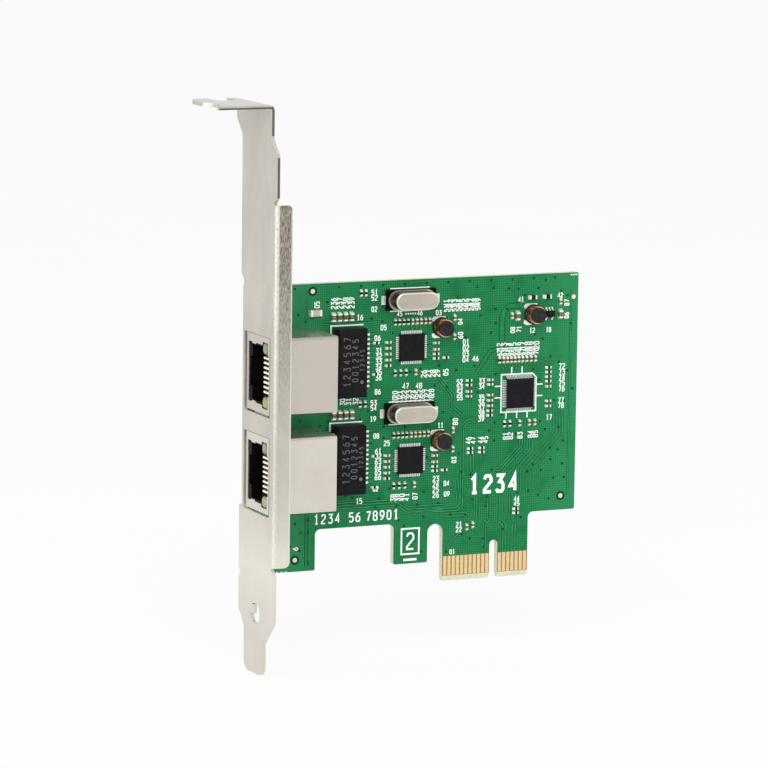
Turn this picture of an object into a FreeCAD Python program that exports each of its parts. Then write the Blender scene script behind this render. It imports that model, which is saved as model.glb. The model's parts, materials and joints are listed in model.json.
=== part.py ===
import FreeCAD, Part
import math
import os

# Two-port network card for a PCI Express x1 slot, with a full-height slot bracket.
#
# The card is drawn lying on its solder side: x runs along the card away from the bracket, y from
# the edge contacts towards the top edge, z up from the component surface.  save() stands it up,
# so in the finished files the card's top edge is +Z and its component side faces -Y.
# The origin is the middle of the connector key, at the tips of the edge contacts, on the
# component surface.  All sizes are in millimetres.

V = FreeCAD.Vector

# ---- board -------------------------------------------------------------------------------------
board_thickness = 1.57
board_left = -56.8
board_right = 19.3
board_top = 65.7
corner_radius = 0.4
inner_radius = 1.2
leg_bottom = 4.4            # the two legs stop this far above the contact tips
wide_notch_top = 13.2
wide_notch_left = -41.9
wide_notch_right = -23.65
narrow_notch_left = -15.7
narrow_notch_top = 12.6
right_step = 13.9           # lower edge of the board right of the contacts
bite_radius = 0.28          # half holes left where the board was broken from its panel
bite_count = 4
bite_pitch = 1.0
bite_start = -51.5

# ---- PCI Express x1 edge -----------------------------------------------------------------------
key_width = 1.9
key_depth = 8.25
tab_left = -12.15           # ends of the contact tab, from the key's middle
tab_right = 8.15
contact_pitch = 1.0
contact_width = 0.7
contact_from_key = 1.5      # first contact on each side of the key
contact_thickness = 0.04
contact_bottom = 1.25
contact_top = 5.4
left_contacts = 11
right_contacts = 7
bevel_depth = 0.45
bevel_height = 1.15

# ---- slot bracket ------------------------------------------------------------------------------
sheet = 0.8
bend_inner = 0.4
bracket_height = 120.02
bracket_below = 15.26       # tip of the tongue below the contact tips
bracket_to_key = 58.2       # outer face to the middle of the key
body_width = 18.42
tab_shift = 3.17            # the top of the bracket stands this far towards the solder side
tab_depth = 11.43
near_jog_end = 109.95       # heights above the tip of the tongue
rear_jog_end = 112.75
shoulder_height = 12.4
shoulder_width = 18.8
tongue_width = 10.19
tongue_offset = 5.45        # near edge of the body to near edge of the tongue
tongue_corner = 2.2
near_flange_low = 24.0
near_flange_high = 99.6
near_flange_depth = 3.7
near_flange_corners = (1.2, 1.0)   # lower and upper free corner
rear_flange_low = 34.6
rear_flange_high = 81.0
rear_flange_depth = 5.0
relief_width = 1.5
relief_depth = 1.5
relief_step = 0.4
dent_depth = 1.5
dent_height = 2.7
foot_dent_height = 20.2
foot_dent_depth = 0.9
foot_dent_reach = 1.0
screw_slot_width = 4.42
screw_slot_from_face = 4.55
screw_slot_depth = 6.2
ear_cut_x = 1.5
ear_cut_z = 3.5
tip_relief_chord = 8.1
tip_relief_depth = 1.8
tip_relief_from_near = 5.1
lance_width = 5.0
lance_height = 4.2
lance_from_tip = 12.8
lance_from_near = 9.6
lance_corner = 2.0
lance_lip_reach = 1.7
rivet_radius = 1.25
rivet_head_radius = 1.9
rivet_head_height = 0.8
rivet_from_face = 3.0
rivet_heights = (60.7, 37.85)
hole_clearance = 0.1

# ---- sockets -----------------------------------------------------------------------------------
jack_middle = (48.3, 27.4)  # heights of the upper and lower socket
jack_width = 16.1
jack_height = 13.1
jack_length = 15.1
jack_inset = 0.35           # front of the socket behind the outer face of the bracket
window_clearance = 0.12
window_clearance_below = 0.4
window_floor_gap = 0.39
shield_sheet = 0.3
shield_radius = 0.6
fit_gap = 0.05
mouth_width = 12.6
mouth_low = 1.1
mouth_step = 8.6
mouth_high = 12.0
finger_low = 3.0            # spring fingers on both sides of the mouth
finger_high = 5.0
finger_reach = 0.3
plug_width = 11.8
plug_low = 2.3
plug_high = 8.45
plug_depth = 12.5
latch_width = 6.3
latch_low = 0.95
comb_width = 8.5
comb_high = 11.7
comb_depth = 0.9
lamp_from_side = 1.15
lamp_width = 2.5
lamp_low = 8.7
lamp_high = 11.4
lamp_depth = 4.8
lamp_chamfer = 0.25
lamp_corner = 1.0
wire_pitch = 1.02
wire_width = 0.4
wire_thickness = 0.32
wire_count = 8
wire_front = 0.5
wire_knee = 8.1             # where a contact turns back into the socket
wire_back = 8.2
wire_low = 7.25
tail_radius = 0.25
tail_below = 1.4            # how far the soldered tails stand out of the solder side
tail_rows = (10.2, 12.0)
lamp_tail_x = 13.6
lamp_tail_y = (5.2, 6.5)
peg_radius = 1.57
peg_x = 6.6
peg_y = 5.72
leg_x = 9.6
leg_width = 1.2

# ---- transformers ------------------------------------------------------------------------------
transformer_x = -35.15
transformer_middle = (48.9, 28.15)
transformer_width = 6.5
transformer_length = 14.6
transformer_top = 3.8
transformer_lift = 0.3
transformer_pin_count = 12
transformer_pitch = 1.0
transformer_lead_width = 0.46
transformer_lead_reach = 2.05
transformer_lead_sheet = 0.25
dot_radius = 0.45
dot_depth = 0.1
dot_x = 2.15
dot_y = -3.9

# ---- controllers -------------------------------------------------------------------------------
lan_x = -20.15
lan_middle = (51.2, 26.9)
lan_size = 5.75
lan_height = 0.85
lan_pin_count = 12
lan_pitch = 0.41
lan_pad_width = 0.24
lan_pad_reach = 0.7
lan_pad_height = 0.2

bridge_x = 5.4
bridge_y = 40.1
bridge_size = 6.3
bridge_top = 1.2
bridge_lift = 0.1
bridge_pin_count = 16
bridge_pitch = 0.38
bridge_lead_width = 0.18
bridge_lead_reach = 0.75
bridge_lead_sheet = 0.13

body_chamfer = 0.12

# ---- crystals ----------------------------------------------------------------------------------
crystal_x = -20.5
crystal_middle = (61.5, 37.2)
crystal_base_length = 11.6
crystal_base_width = 4.45
crystal_base_height = 0.6
crystal_rim_length = 10.9
crystal_rim_width = 4.25
crystal_rim_height = 0.4
crystal_can_length = 10.0
crystal_can_width = 3.75
crystal_top = 4.2
crystal_can_fillet = 0.45
crystal_lead_width = 1.9
crystal_lead_reach = 0.95
crystal_lead_sheet = 0.2

# ---- inductors ---------------------------------------------------------------------------------
inductor_places = (("upper", -13.1, 55.2), ("lower", -13.1, 30.8), ("supply", 8.6, 57.05))
inductor_base_radius = 2.15
inductor_base_height = 0.35
inductor_top_radius = 1.68
inductor_top_height = 0.55
inductor_height = 2.95
inductor_post_radius = 1.1
coil_radius = 1.9
coil_gap = 0.03

# ---- supply regulator --------------------------------------------------------------------------
regulator_x = 12.35
regulator_y = 57.0
regulator_length = 2.1
regulator_width = 1.4
regulator_top = 1.05
regulator_lift = 0.1
regulator_lead_width = 0.32
regulator_lead_reach = 0.7
regulator_lead_sheet = 0.13
regulator_pitch = 0.7

# ---- small chips: length, width, height, end cap, solder reach ---------------------------------
small_capacitor = (1.0, 0.52, 0.5, 0.24, 0.3)
small_resistor = (1.0, 0.52, 0.35, 0.22, 0.3)
medium_capacitor = (1.6, 0.85, 0.75, 0.32, 0.32)
medium_resistor = (1.6, 0.85, 0.5, 0.3, 0.32)
large_capacitor = (2.5, 1.3, 0.85, 0.4, 0.22)

# Rows of small chips as kind, x, y, step in x, step in y, count, and the axis that they lie along.
common_rows = (
    ("large_capacitor", -42.4, 59.5, 0, 0, 1, "x"),
    ("medium_capacitor", -38.3, 58.35, 1.38, 0, 4, "y"),
    ("medium_capacitor", -38.0, 37.4, 1.38, 0, 4, "y"),
    ("small_resistor", -31.9, 63.25, 1.1, 0, 2, "y"),
    ("small_resistor", -31.9, 39.5, 1.2, 0, 2, "y"),
    ("medium_resistor", 8.4, 60.7, 0, 0, 1, "x"),
    ("medium_resistor", 11.9, 60.7, 0, 0, 1, "x"),
    ("small_capacitor", 15.0, 59.5, 0, 0, 1, "y"),
    ("medium_capacitor", 15.0, 56.8, 0, 0, 1, "y"),
    ("small_capacitor", 3.5, 56.9, 0, 0, 1, "y"),
    ("medium_capacitor", 4.8, 56.8, 0, 0, 1, "y"),
    ("small_resistor", 0.7, 47.4, 0, 0, 1, "y"),
    ("small_capacitor", 1.6, 47.4, 0.9, 0, 6, "y"),
    ("small_capacitor", 7.1, 47.4, 1.05, 0, 3, "y"),
    ("small_resistor", 12.5, 45.3, 0, -1.0, 4, "x"),
    ("small_capacitor", 12.5, 41.2, 0, 0, 1, "x"),
    ("small_capacitor", 12.5, 38.0, 0, -1.1, 2, "x"),
    ("small_resistor", -6.4, 43.4, 0, -1.0, 2, "x"),
    ("small_capacitor", -6.4, 41.0, 0, -1.0, 2, "x"),
    ("small_capacitor", -1.4, 43.3, 0, -1.0, 2, "x"),
    ("small_capacitor", -1.4, 40.0, 0, -1.15, 3, "x"),
    ("small_resistor", -1.4, 36.6, 0, -1.0, 2, "x"),
    ("small_resistor", 2.1, 33.5, 1.3, 0, 2, "y"),
    ("small_capacitor", 5.7, 33.5, 0, 0, 1, "y"),
    ("small_capacitor", 8.0, 33.5, 1.3, 0, 2, "y"),
    ("small_resistor", -5.9, 28.6, 0, -0.9, 2, "x"),
    ("small_resistor", -3.2, 28.6, 0, -0.9, 2, "x"),
    ("small_resistor", 5.2, 14.8, 0, -0.9, 2, "x"),
    ("small_capacitor", -6.5, 11.5, 1.4, 0.4, 2, "y"),
)

# The same parts beside both controllers: places are from the middle of the controller.
channel_rows = (
    ("small_resistor", -3.8, 5.5, 1.0, 0, 4, "y"),
    ("small_capacitor", 0.2, 5.5, 1.0, 0, 5, "y"),
    ("small_capacitor", -5.3, 1.3, 0, -1.25, 4, "x"),
    ("small_resistor", -5.3, -3.7, 0, -0.9, 1, "x"),
    ("small_resistor", -8.1, 1.3, 0, 0, 1, "x"),
    ("small_resistor", -8.2, -5.4, 0, 0, 1, "x"),
    ("small_resistor", -3.7, -5.4, 1.3, 0, 3, "y"),
    ("small_capacitor", 1.1, -5.4, 0, 0, 1, "y"),
    ("small_capacitor", 5.9, 0.7, 0, -1.4, 2, "x"),
    ("small_resistor", 5.9, -1.7, 0, -0.95, 2, "x"),
    ("small_resistor", 8.2, -2.6, 0, 0, 1, "x"),
    ("small_capacitor", 10.05, 5.9, 0, -4.1, 2, "y"),
)

# ---- values worked out from the sizes above ----------------------------------------------------
face_x = -bracket_to_key
plate_back_x = face_x + sheet
bend_outer = bend_inner + sheet
bracket_bottom = -bracket_below
bracket_top = bracket_bottom + bracket_height
rear_z = -board_thickness - sheet
near_z = rear_z + body_width
tab_rear_z = rear_z - tab_shift
tab_near_z = near_z - tab_shift
tongue_near_z = near_z - tongue_offset
tongue_rear_z = tongue_near_z - tongue_width
shoulder_rear_z = near_z - shoulder_width
jack_front = face_x + jack_inset
jack_back = jack_front + jack_length
lamp_outer = jack_width / 2 - lamp_from_side
lamp_inner = lamp_outer - lamp_width
rivet_x = face_x + rivet_from_face


# ---- shape helpers -----------------------------------------------------------------------------
def box(x0, x1, y0, y1, z0, z1):
    return Part.makeBox(x1 - x0, y1 - y0, z1 - z0, V(x0, y0, z0))


def cylinder(x, y, z0, z1, radius):
    return Part.makeCylinder(radius, z1 - z0, V(x, y, z0))


def in_xy(a, b, level=0.0):
    return V(a, b, level)


def in_zy(a, b, level=0.0):
    return V(level, b, a)


def in_xz(a, b, level=0.0):
    return V(a, level, b)


def rounded_wire(corners, plane, level):
    """Closed outline through corners given as a, b and radius, in the plane that plane() names."""
    count = len(corners)
    points = [V(a, b, 0) for a, b, radius in corners]
    starts = []
    ends = []
    middles = []
    for index, (a, b, radius) in enumerate(corners):
        here = points[index]
        back = (points[index - 1] - here).normalize()
        ahead = (points[(index + 1) % count] - here).normalize()
        half = back.getAngle(ahead) / 2
        reach = radius / math.tan(half)
        starts.append(here + back * reach)
        ends.append(here + ahead * reach)
        inward = (back + ahead).normalize()
        middles.append(here + inward * (radius / math.sin(half) - radius))
    edges = []
    for index, (a, b, radius) in enumerate(corners):
        following = (index + 1) % count
        first = plane(starts[index].x, starts[index].y, level)
        last = plane(ends[index].x, ends[index].y, level)
        middle = plane(middles[index].x, middles[index].y, level)
        target = plane(starts[following].x, starts[following].y, level)
        if radius > 0:
            edges.append(Part.Arc(first, middle, last).toShape())
        if (target - last).Length > 1e-6:
            edges.append(Part.LineSegment(last, target).toShape())
    return Part.Wire(Part.__sortEdges__(edges))


def plate(corners, plane, level, along):
    return Part.Face(rounded_wire(corners, plane, level)).extrude(along)


def polygon_prism(points, plane, level, along):
    return plate([(a, b, 0) for a, b in points], plane, level, along)


def stadium(x, y, length, width, z0, z1):
    """Upright round-ended block, long along x."""
    reach = length / 2
    half = width / 2
    corners = [(x - reach, y - half, half), (x + reach, y - half, half),
               (x + reach, y + half, half), (x - reach, y + half, half)]
    return plate(corners, in_xy, z0, V(0, 0, z1 - z0))


def fused(shapes):
    result = shapes[0]
    if len(shapes) > 1:
        result = result.multiFuse(shapes[1:])
    return result.removeSplitter()


def fold(corner, towards_plate, towards_flange, reach, plane, level, along):
    """Bent strip of sheet: corner is the outer corner of the fold in the plane of the section."""
    root = V(corner[0], corner[1], 0)
    p = V(towards_plate[0], towards_plate[1], 0)
    f = V(towards_flange[0], towards_flange[1], 0)
    centre = root + (p + f) * bend_outer
    spots = {
        "outer_plate": root + p * bend_outer,
        "outer_mid": centre - (p + f) * (bend_outer / math.sqrt(2)),
        "outer_flange": root + f * bend_outer,
        "tip_outer": root + f * reach,
        "tip_inner": root + f * reach + p * sheet,
        "inner_flange": root + f * bend_outer + p * sheet,
        "inner_mid": centre - (p + f) * (bend_inner / math.sqrt(2)),
        "inner_plate": root + p * bend_outer + f * sheet,
    }
    at = {name: plane(spot.x, spot.y, level) for name, spot in spots.items()}
    edges = [
        Part.Arc(at["outer_plate"], at["outer_mid"], at["outer_flange"]).toShape(),
        Part.LineSegment(at["outer_flange"], at["tip_outer"]).toShape(),
        Part.LineSegment(at["tip_outer"], at["tip_inner"]).toShape(),
        Part.LineSegment(at["tip_inner"], at["inner_flange"]).toShape(),
        Part.Arc(at["inner_flange"], at["inner_mid"], at["inner_plate"]).toShape(),
        Part.LineSegment(at["inner_plate"], at["outer_plate"]).toShape(),
    ]
    return Part.Face(Part.Wire(edges)).extrude(along)


def gull_lead(reach, width, thickness, shoulder):
    """Lead that leaves a body at x = 0 at height shoulder and lands on the board at x = reach."""
    knee = reach * 0.22
    ankle = reach * 0.42
    half = thickness / 2
    points = [(0, shoulder - half), (knee - half, shoulder - half), (ankle - half, 0), (reach, 0),
              (reach, thickness), (ankle + half, thickness), (knee + half, shoulder + half),
              (0, shoulder + half)]
    return polygon_prism(points, in_xz, -width / 2, V(0, width, 0))


def turned(shape, degrees, x, y):
    """Copy of a shape drawn about the origin, turned about z and moved to x, y."""
    copy = shape.copy()
    copy.rotate(V(0, 0, 0), V(0, 0, 1), degrees)
    copy.translate(V(x, y, 0))
    return copy


def around_square(lead, size, pins, pitch, x, y):
    """The same lead repeated along the four sides of a square body."""
    leads = []
    for side in range(4):
        for pin in range(pins):
            offset = (pin - (pins - 1) / 2) * pitch
            placed = lead.copy()
            placed.translate(V(size / 2, offset, 0))
            leads.append(turned(placed, 90 * side, x, y))
    return leads


def save(name, shapes):
    """Stand the card up and write one file of one or more separate solids."""
    solids = []
    for shape in shapes:
        for solid in shape.Solids:
            upright = solid.copy()
            upright.rotate(V(0, 0, 0), V(1, 0, 0), 90)
            solids.append(upright)
    result = solids[0] if len(solids) == 1 else Part.makeCompound(solids)
    result.exportStep("parts/" + name + ".step")
    volume = sum(solid.Volume for solid in solids)
    print("%-28s %4d solids %10.2f mm3 valid %s" % (name, len(solids), volume, result.isValid()))


# ---- board -------------------------------------------------------------------------------------
def jack_holes(middle):
    """Holes in the board under one socket."""
    low = -board_thickness - 1
    holes = []
    for x, y in tail_places(middle):
        holes.append(cylinder(x, y, low, 1, tail_radius + hole_clearance))
    for side in (-1, 1):
        holes.append(cylinder(jack_front + peg_x, middle + side * peg_y, low, 1,
                              peg_radius + hole_clearance))
        leg_y = middle + side * (jack_width - shield_sheet) / 2
        holes.append(cylinder(jack_front + leg_x, leg_y, low, 1, leg_width / 2 + hole_clearance))
    return holes


def circuit_board():
    narrow_round = (tab_left - narrow_notch_left) / 2
    key_round = key_width / 2
    outline = [
        (board_left, leg_bottom, corner_radius),
        (wide_notch_left, leg_bottom, corner_radius),
        (wide_notch_left, wide_notch_top, inner_radius),
        (wide_notch_right, wide_notch_top, inner_radius),
        (wide_notch_right, leg_bottom, corner_radius),
        (narrow_notch_left, leg_bottom, corner_radius),
        (narrow_notch_left, narrow_notch_top, narrow_round),
        (tab_left, narrow_notch_top, narrow_round),
        (tab_left, 0, corner_radius),
        (-key_round, 0, corner_radius),
        (-key_round, key_depth, key_round),
        (key_round, key_depth, key_round),
        (key_round, 0, corner_radius),
        (tab_right, 0, corner_radius),
        (tab_right, right_step, inner_radius),
        (board_right, right_step, corner_radius),
        (board_right, board_top, corner_radius),
        (board_left, board_top, corner_radius),
    ]
    board = plate(outline, in_xy, -board_thickness, V(0, 0, board_thickness))
    cuts = []
    for level, inward in ((0, -bevel_depth), (-board_thickness, bevel_depth)):
        wedge = [(level, 0), (level + inward, 0), (level, bevel_height)]
        cuts.append(polygon_prism(wedge, in_zy, tab_left - 1, V(tab_right - tab_left + 2, 0, 0)))
    for index in range(bite_count):
        bite_x = bite_start + index * bite_pitch
        cuts.append(cylinder(bite_x, leg_bottom, -board_thickness - 1, 1, bite_radius))
    for height in rivet_heights:
        cuts.append(cylinder(rivet_x, height, -board_thickness - 1, 1,
                             rivet_radius + hole_clearance / 2))
    for middle in jack_middle:
        cuts.extend(jack_holes(middle))
    return board.cut(cuts)


def edge_contacts(level):
    strips = []
    for side, count in ((-1, left_contacts), (1, right_contacts)):
        for index in range(count):
            x = side * (contact_from_key + index * contact_pitch)
            strips.append(box(x - contact_width / 2, x + contact_width / 2, contact_bottom,
                              contact_top, level, level + contact_thickness))
    return strips


# ---- bracket -----------------------------------------------------------------------------------
def bracket_plate():
    def high(height):
        return bracket_bottom + height

    near_bend = near_z - bend_outer
    rear_bend = rear_z + bend_outer
    shoulder_fall = near_z - tongue_near_z
    rear_fall = tongue_rear_z - shoulder_rear_z
    outline = [
        (tongue_near_z, bracket_bottom, tongue_corner),
        (tongue_near_z, high(shoulder_height - shoulder_fall), 1.5),
        (near_z, high(shoulder_height), 1.5),
        (near_z, high(near_flange_low - relief_width), 0.3),
        (near_z - relief_depth, high(near_flange_low - relief_step), 0.2),
        (near_z - relief_depth, high(near_flange_low), 0),
        (near_bend, high(near_flange_low), 0),
        (near_bend, high(near_flange_high), 0),
        (near_z - relief_depth, high(near_flange_high), 0),
        (near_z - relief_depth, high(near_flange_high + relief_step), 0.2),
        (near_z, high(near_flange_high + relief_width), 0.3),
        (near_z, high(near_jog_end), 1.2),
        (tab_near_z, high(near_jog_end + tab_shift), 1.2),
        (tab_near_z, bracket_top - bend_outer, 0),
        (tab_rear_z, bracket_top - bend_outer, 0),
        (tab_rear_z, high(rear_jog_end + tab_shift), 1.2),
        (rear_z, high(rear_jog_end), 1.2),
        (rear_z, high(rear_flange_high + dent_height), 0.3),
        (rear_z + dent_depth, high(rear_flange_high + dent_height / 2), 0.3),
        (rear_bend, high(rear_flange_high), 0),
        (rear_bend, high(rear_flange_low), 0),
        (shoulder_rear_z, high(rear_flange_low), 0.3),
        (shoulder_rear_z, high(foot_dent_height + foot_dent_reach), 0.2),
        (shoulder_rear_z + foot_dent_depth, high(foot_dent_height), 0.3),
        (shoulder_rear_z, high(foot_dent_height - foot_dent_reach), 0.2),
        (shoulder_rear_z, high(shoulder_height), 1.2),
        (tongue_rear_z, high(shoulder_height - rear_fall), 1.5),
        (tongue_rear_z, bracket_bottom, tongue_corner),
    ]
    return plate(outline, in_zy, face_x, V(sheet, 0, 0))


def tab_cutters():
    """Screw slot, corner and relief cut out of the top tab, as upright prisms."""
    low = bracket_top - sheet - 1
    tall = V(0, sheet + 2, 0)
    tip_x = face_x - tab_depth
    half = screw_slot_width / 2
    slot_x = face_x - screw_slot_from_face
    slot_end = tab_rear_z + screw_slot_depth
    slot = [(slot_x - half, tab_rear_z - half, 0), (slot_x + half, tab_rear_z - half, 0),
            (slot_x + half, slot_end, half), (slot_x - half, slot_end, half)]
    corner = [(tip_x - 1, tab_rear_z - 1), (tip_x + ear_cut_x, tab_rear_z - 1),
              (tip_x + ear_cut_x, tab_rear_z), (tip_x, tab_rear_z + ear_cut_z),
              (tip_x - 1, tab_rear_z + ear_cut_z)]
    relief_radius = ((tip_relief_chord / 2) ** 2 + tip_relief_depth ** 2) / (2 * tip_relief_depth)
    relief_x = tip_x - relief_radius + tip_relief_depth
    relief_z = tab_near_z - tip_relief_from_near
    relief = Part.makeCylinder(relief_radius, sheet + 2, V(relief_x, low, relief_z), V(0, 1, 0))
    return [plate(slot, in_xz, low, tall), polygon_prism(corner, in_xz, low, tall), relief]


def lance_lip():
    """Small flush tongue left in the pierced hole near the bracket's foot."""
    lip_z = near_z - lance_from_near - lance_width / 2
    foot = bracket_bottom + lance_from_tip
    return box(face_x, plate_back_x, foot - lance_height * 0.05, foot + lance_height * 0.42,
               lip_z, lip_z + lance_lip_reach)


def lance_hole():
    middle_z = near_z - lance_from_near
    middle_y = bracket_bottom + lance_from_tip
    outline = [(middle_z + side_z * lance_width / 2, middle_y + side_y * lance_height / 2,
                lance_corner) for side_z, side_y in ((-1, -1), (1, -1), (1, 1), (-1, 1))]
    return plate(outline, in_zy, face_x - 1, V(sheet + 2, 0, 0))


def near_flange_limits():
    """Block that gives the near flange its two rounded free corners."""
    low = bracket_bottom + near_flange_low
    high = bracket_bottom + near_flange_high
    tip = face_x + near_flange_depth
    outline = [(face_x - 1, low, 0), (tip, low, near_flange_corners[0]),
               (tip, high, near_flange_corners[1]), (face_x - 1, high, 0)]
    return plate(outline, in_xy, near_z - 2 * bend_outer, V(0, 0, 3 * bend_outer))


def bracket():
    near = fold((face_x, near_z), (0, -1), (1, 0), near_flange_depth, in_xz,
                bracket_bottom + near_flange_low, V(0, near_flange_high - near_flange_low, 0))
    near = near.common(near_flange_limits())
    rear = fold((face_x, rear_z), (0, 1), (1, 0), rear_flange_depth, in_xz,
                bracket_bottom + rear_flange_low, V(0, rear_flange_high - rear_flange_low, 0))
    tab = fold((plate_back_x, bracket_top), (0, -1), (-1, 0), tab_depth + sheet, in_xy,
               tab_rear_z, V(0, 0, body_width))
    sheet_metal = fused([bracket_plate(), near, rear, tab.cut(tab_cutters())])
    cuts = []
    for middle in jack_middle:
        low = middle - jack_width / 2 - window_clearance_below
        high = middle + jack_width / 2 + window_clearance
        cuts.append(box(face_x - 1, plate_back_x + 1, low, high,
                        -window_floor_gap, jack_height + window_clearance))
    for height in rivet_heights:
        cuts.append(cylinder(rivet_x, height, rear_z - 1, -board_thickness + 0.5,
                             rivet_radius + hole_clearance / 2))
    cuts.append(lance_hole())
    return fused([sheet_metal.cut(cuts), lance_lip()])


def bracket_rivets():
    rivets = []
    for height in rivet_heights:
        shank = cylinder(rivet_x, height, rear_z, 0, rivet_radius)
        outer = cylinder(rivet_x, height, rear_z - rivet_head_height, rear_z, rivet_head_radius)
        inner = cylinder(rivet_x, height, 0, rivet_head_height, rivet_head_radius)
        rivets.append(fused([shank, outer, inner]))
    return rivets


# ---- sockets -----------------------------------------------------------------------------------
def tail_places(middle):
    places = []
    for index in range(wire_count):
        y = middle + (index - (wire_count - 1) / 2) * wire_pitch
        places.append((jack_front + tail_rows[index % 2], y))
    for y in lamp_tail_y:
        places.append((jack_front + lamp_tail_x, middle + y))
        places.append((jack_front + lamp_tail_x, middle - y))
    return places


def tunnel(width, low, high, depth, middle):
    """Block reaching back from the front of a socket, for cutting its mouth."""
    return box(jack_front - 1, jack_front + depth, middle - width / 2, middle + width / 2,
               low, high)


def jack_shield(middle):
    half = jack_width / 2
    inner = half - shield_sheet

    def shell(reach, top, radius, x0, x1):
        section = [(0, middle - reach, 0), (top, middle - reach, radius),
                   (top, middle + reach, radius), (0, middle + reach, 0)]
        return plate(section, in_zy, x0, V(x1 - x0, 0, 0))

    skin = shell(half, jack_height, shield_radius, jack_front, jack_back)
    hollow = shell(inner, jack_height - shield_sheet, shield_radius - shield_sheet,
                   jack_front + shield_sheet, jack_back - shield_sheet)
    lamp_edge = 2 * (lamp_outer + fit_gap)
    mouth = [
        tunnel(mouth_width, mouth_low, mouth_step, 2 * shield_sheet, middle),
        tunnel(lamp_edge, mouth_step - fit_gap, lamp_high + fit_gap, 2 * shield_sheet, middle),
        tunnel(comb_width, lamp_high, mouth_high, 2 * shield_sheet, middle),
    ]
    legs = []
    fingers = []
    for side in (-1, 1):
        outer_y = middle + side * half
        inner_y = middle + side * inner
        legs.append(box(jack_front + leg_x - leg_width / 2, jack_front + leg_x + leg_width / 2,
                        min(outer_y, inner_y), max(outer_y, inner_y),
                        -board_thickness - tail_below, shield_sheet))
        edge_y = middle + side * mouth_width / 2
        finger_y = edge_y - side * finger_reach
        fingers.append(box(jack_front, jack_front + shield_sheet, min(edge_y, finger_y),
                           max(edge_y, finger_y), finger_low, finger_high))
    return fused([skin.cut([hollow] + mouth)] + legs + fingers)


def jack_housing(middle):
    skin = shield_sheet + fit_gap
    half = jack_width / 2 - skin
    roof = jack_height - skin
    section = [(fit_gap, middle - half, 0), (roof, middle - half, shield_radius - skin),
               (roof, middle + half, shield_radius - skin), (fit_gap, middle + half, 0)]
    block = plate(section, in_zy, jack_front + skin, V(jack_length - 2 * skin, 0, 0))
    cuts = [
        tunnel(plug_width, plug_low, plug_high, plug_depth, middle),
        tunnel(latch_width, latch_low, plug_low, plug_depth, middle),
        tunnel(comb_width, plug_high, comb_high, comb_depth, middle),
    ]
    for side in (-1, 1):
        lamp_middle = middle + side * (lamp_inner + lamp_outer) / 2
        cuts.append(tunnel(lamp_outer - lamp_inner + 2 * fit_gap, lamp_low - fit_gap,
                           lamp_high + fit_gap, lamp_depth + fit_gap, lamp_middle))
    pegs = [cylinder(jack_front + peg_x, middle + side * peg_y,
                     -board_thickness - tail_below / 2, plug_low / 2, peg_radius)
            for side in (-1, 1)]
    return fused([block.cut(cuts)] + pegs)


def jack_wires(middle):
    """Spring contacts: each comes down in front of the comb, then slopes back into the socket."""
    inside = wire_front + wire_thickness
    section = [
        (inside, comb_high), (wire_front, comb_high), (wire_front, wire_knee),
        (inside, wire_knee - wire_thickness), (wire_back, wire_low),
        (wire_back, wire_low + wire_thickness), (inside, wire_knee),
    ]
    wires = []
    for index in range(wire_count):
        y = middle + (index - (wire_count - 1) / 2) * wire_pitch
        wire = polygon_prism(section, in_xz, y - wire_width / 2, V(0, wire_width, 0))
        wire.translate(V(jack_front, 0, 0))
        wires.append(wire)
    return wires


def jack_lens(middle, side):
    near_edge = middle + side * lamp_inner
    far_edge = middle + side * lamp_outer
    y0 = min(near_edge, far_edge)
    y1 = max(near_edge, far_edge)
    section = [(lamp_low, y0, lamp_corner), (lamp_high, y0, lamp_corner),
               (lamp_high, y1, lamp_corner), (lamp_low, y1, lamp_corner)]
    lens = plate(section, in_zy, jack_front, V(lamp_depth, 0, 0))
    front = [edge for edge in lens.Edges if edge.CenterOfMass.x < jack_front + fit_gap]
    return lens.makeChamfer(lamp_chamfer, front)


def jack_tails(middle):
    return [cylinder(x, y, -board_thickness - tail_below, fit_gap, tail_radius)
            for x, y in tail_places(middle)]


# ---- components --------------------------------------------------------------------------------
def chip_body(x, y, size_x, size_y, z0, z1):
    body = box(x - size_x / 2, x + size_x / 2, y - size_y / 2, y + size_y / 2, z0, z1)
    top = [edge for edge in body.Edges if edge.CenterOfMass.z > z1 - 1e-6]
    return body.makeChamfer(body_chamfer, top)


def transformer_body(middle):
    body = chip_body(transformer_x, middle, transformer_width, transformer_length,
                     transformer_lift, transformer_top)
    dot = cylinder(transformer_x + dot_x, middle + dot_y, transformer_top - dot_depth,
                   transformer_top + 1, dot_radius)
    return body.cut(dot)


def transformer_leads(middle):
    lead = gull_lead(transformer_lead_reach, transformer_lead_width, transformer_lead_sheet,
                     transformer_top * 0.42)
    lead.translate(V(transformer_width / 2, 0, 0))
    leads = []
    for pin in range(transformer_pin_count):
        offset = (pin - (transformer_pin_count - 1) / 2) * transformer_pitch
        leads.append(turned(lead, 0, transformer_x, middle + offset))
        leads.append(turned(lead, 180, transformer_x, middle + offset))
    return leads


def lan_terminals(middle):
    pad = box(0, lan_pad_reach, -lan_pad_width / 2, lan_pad_width / 2, 0, lan_pad_height)
    return around_square(pad, lan_size, lan_pin_count, lan_pitch, lan_x, middle)


def bridge_leads():
    lead = gull_lead(bridge_lead_reach, bridge_lead_width, bridge_lead_sheet, bridge_top / 2)
    return around_square(lead, bridge_size, bridge_pin_count, bridge_pitch, bridge_x, bridge_y)


def crystal_base(middle):
    return box(crystal_x - crystal_base_length / 2, crystal_x + crystal_base_length / 2,
               middle - crystal_base_width / 2, middle + crystal_base_width / 2,
               0, crystal_base_height)


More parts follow.
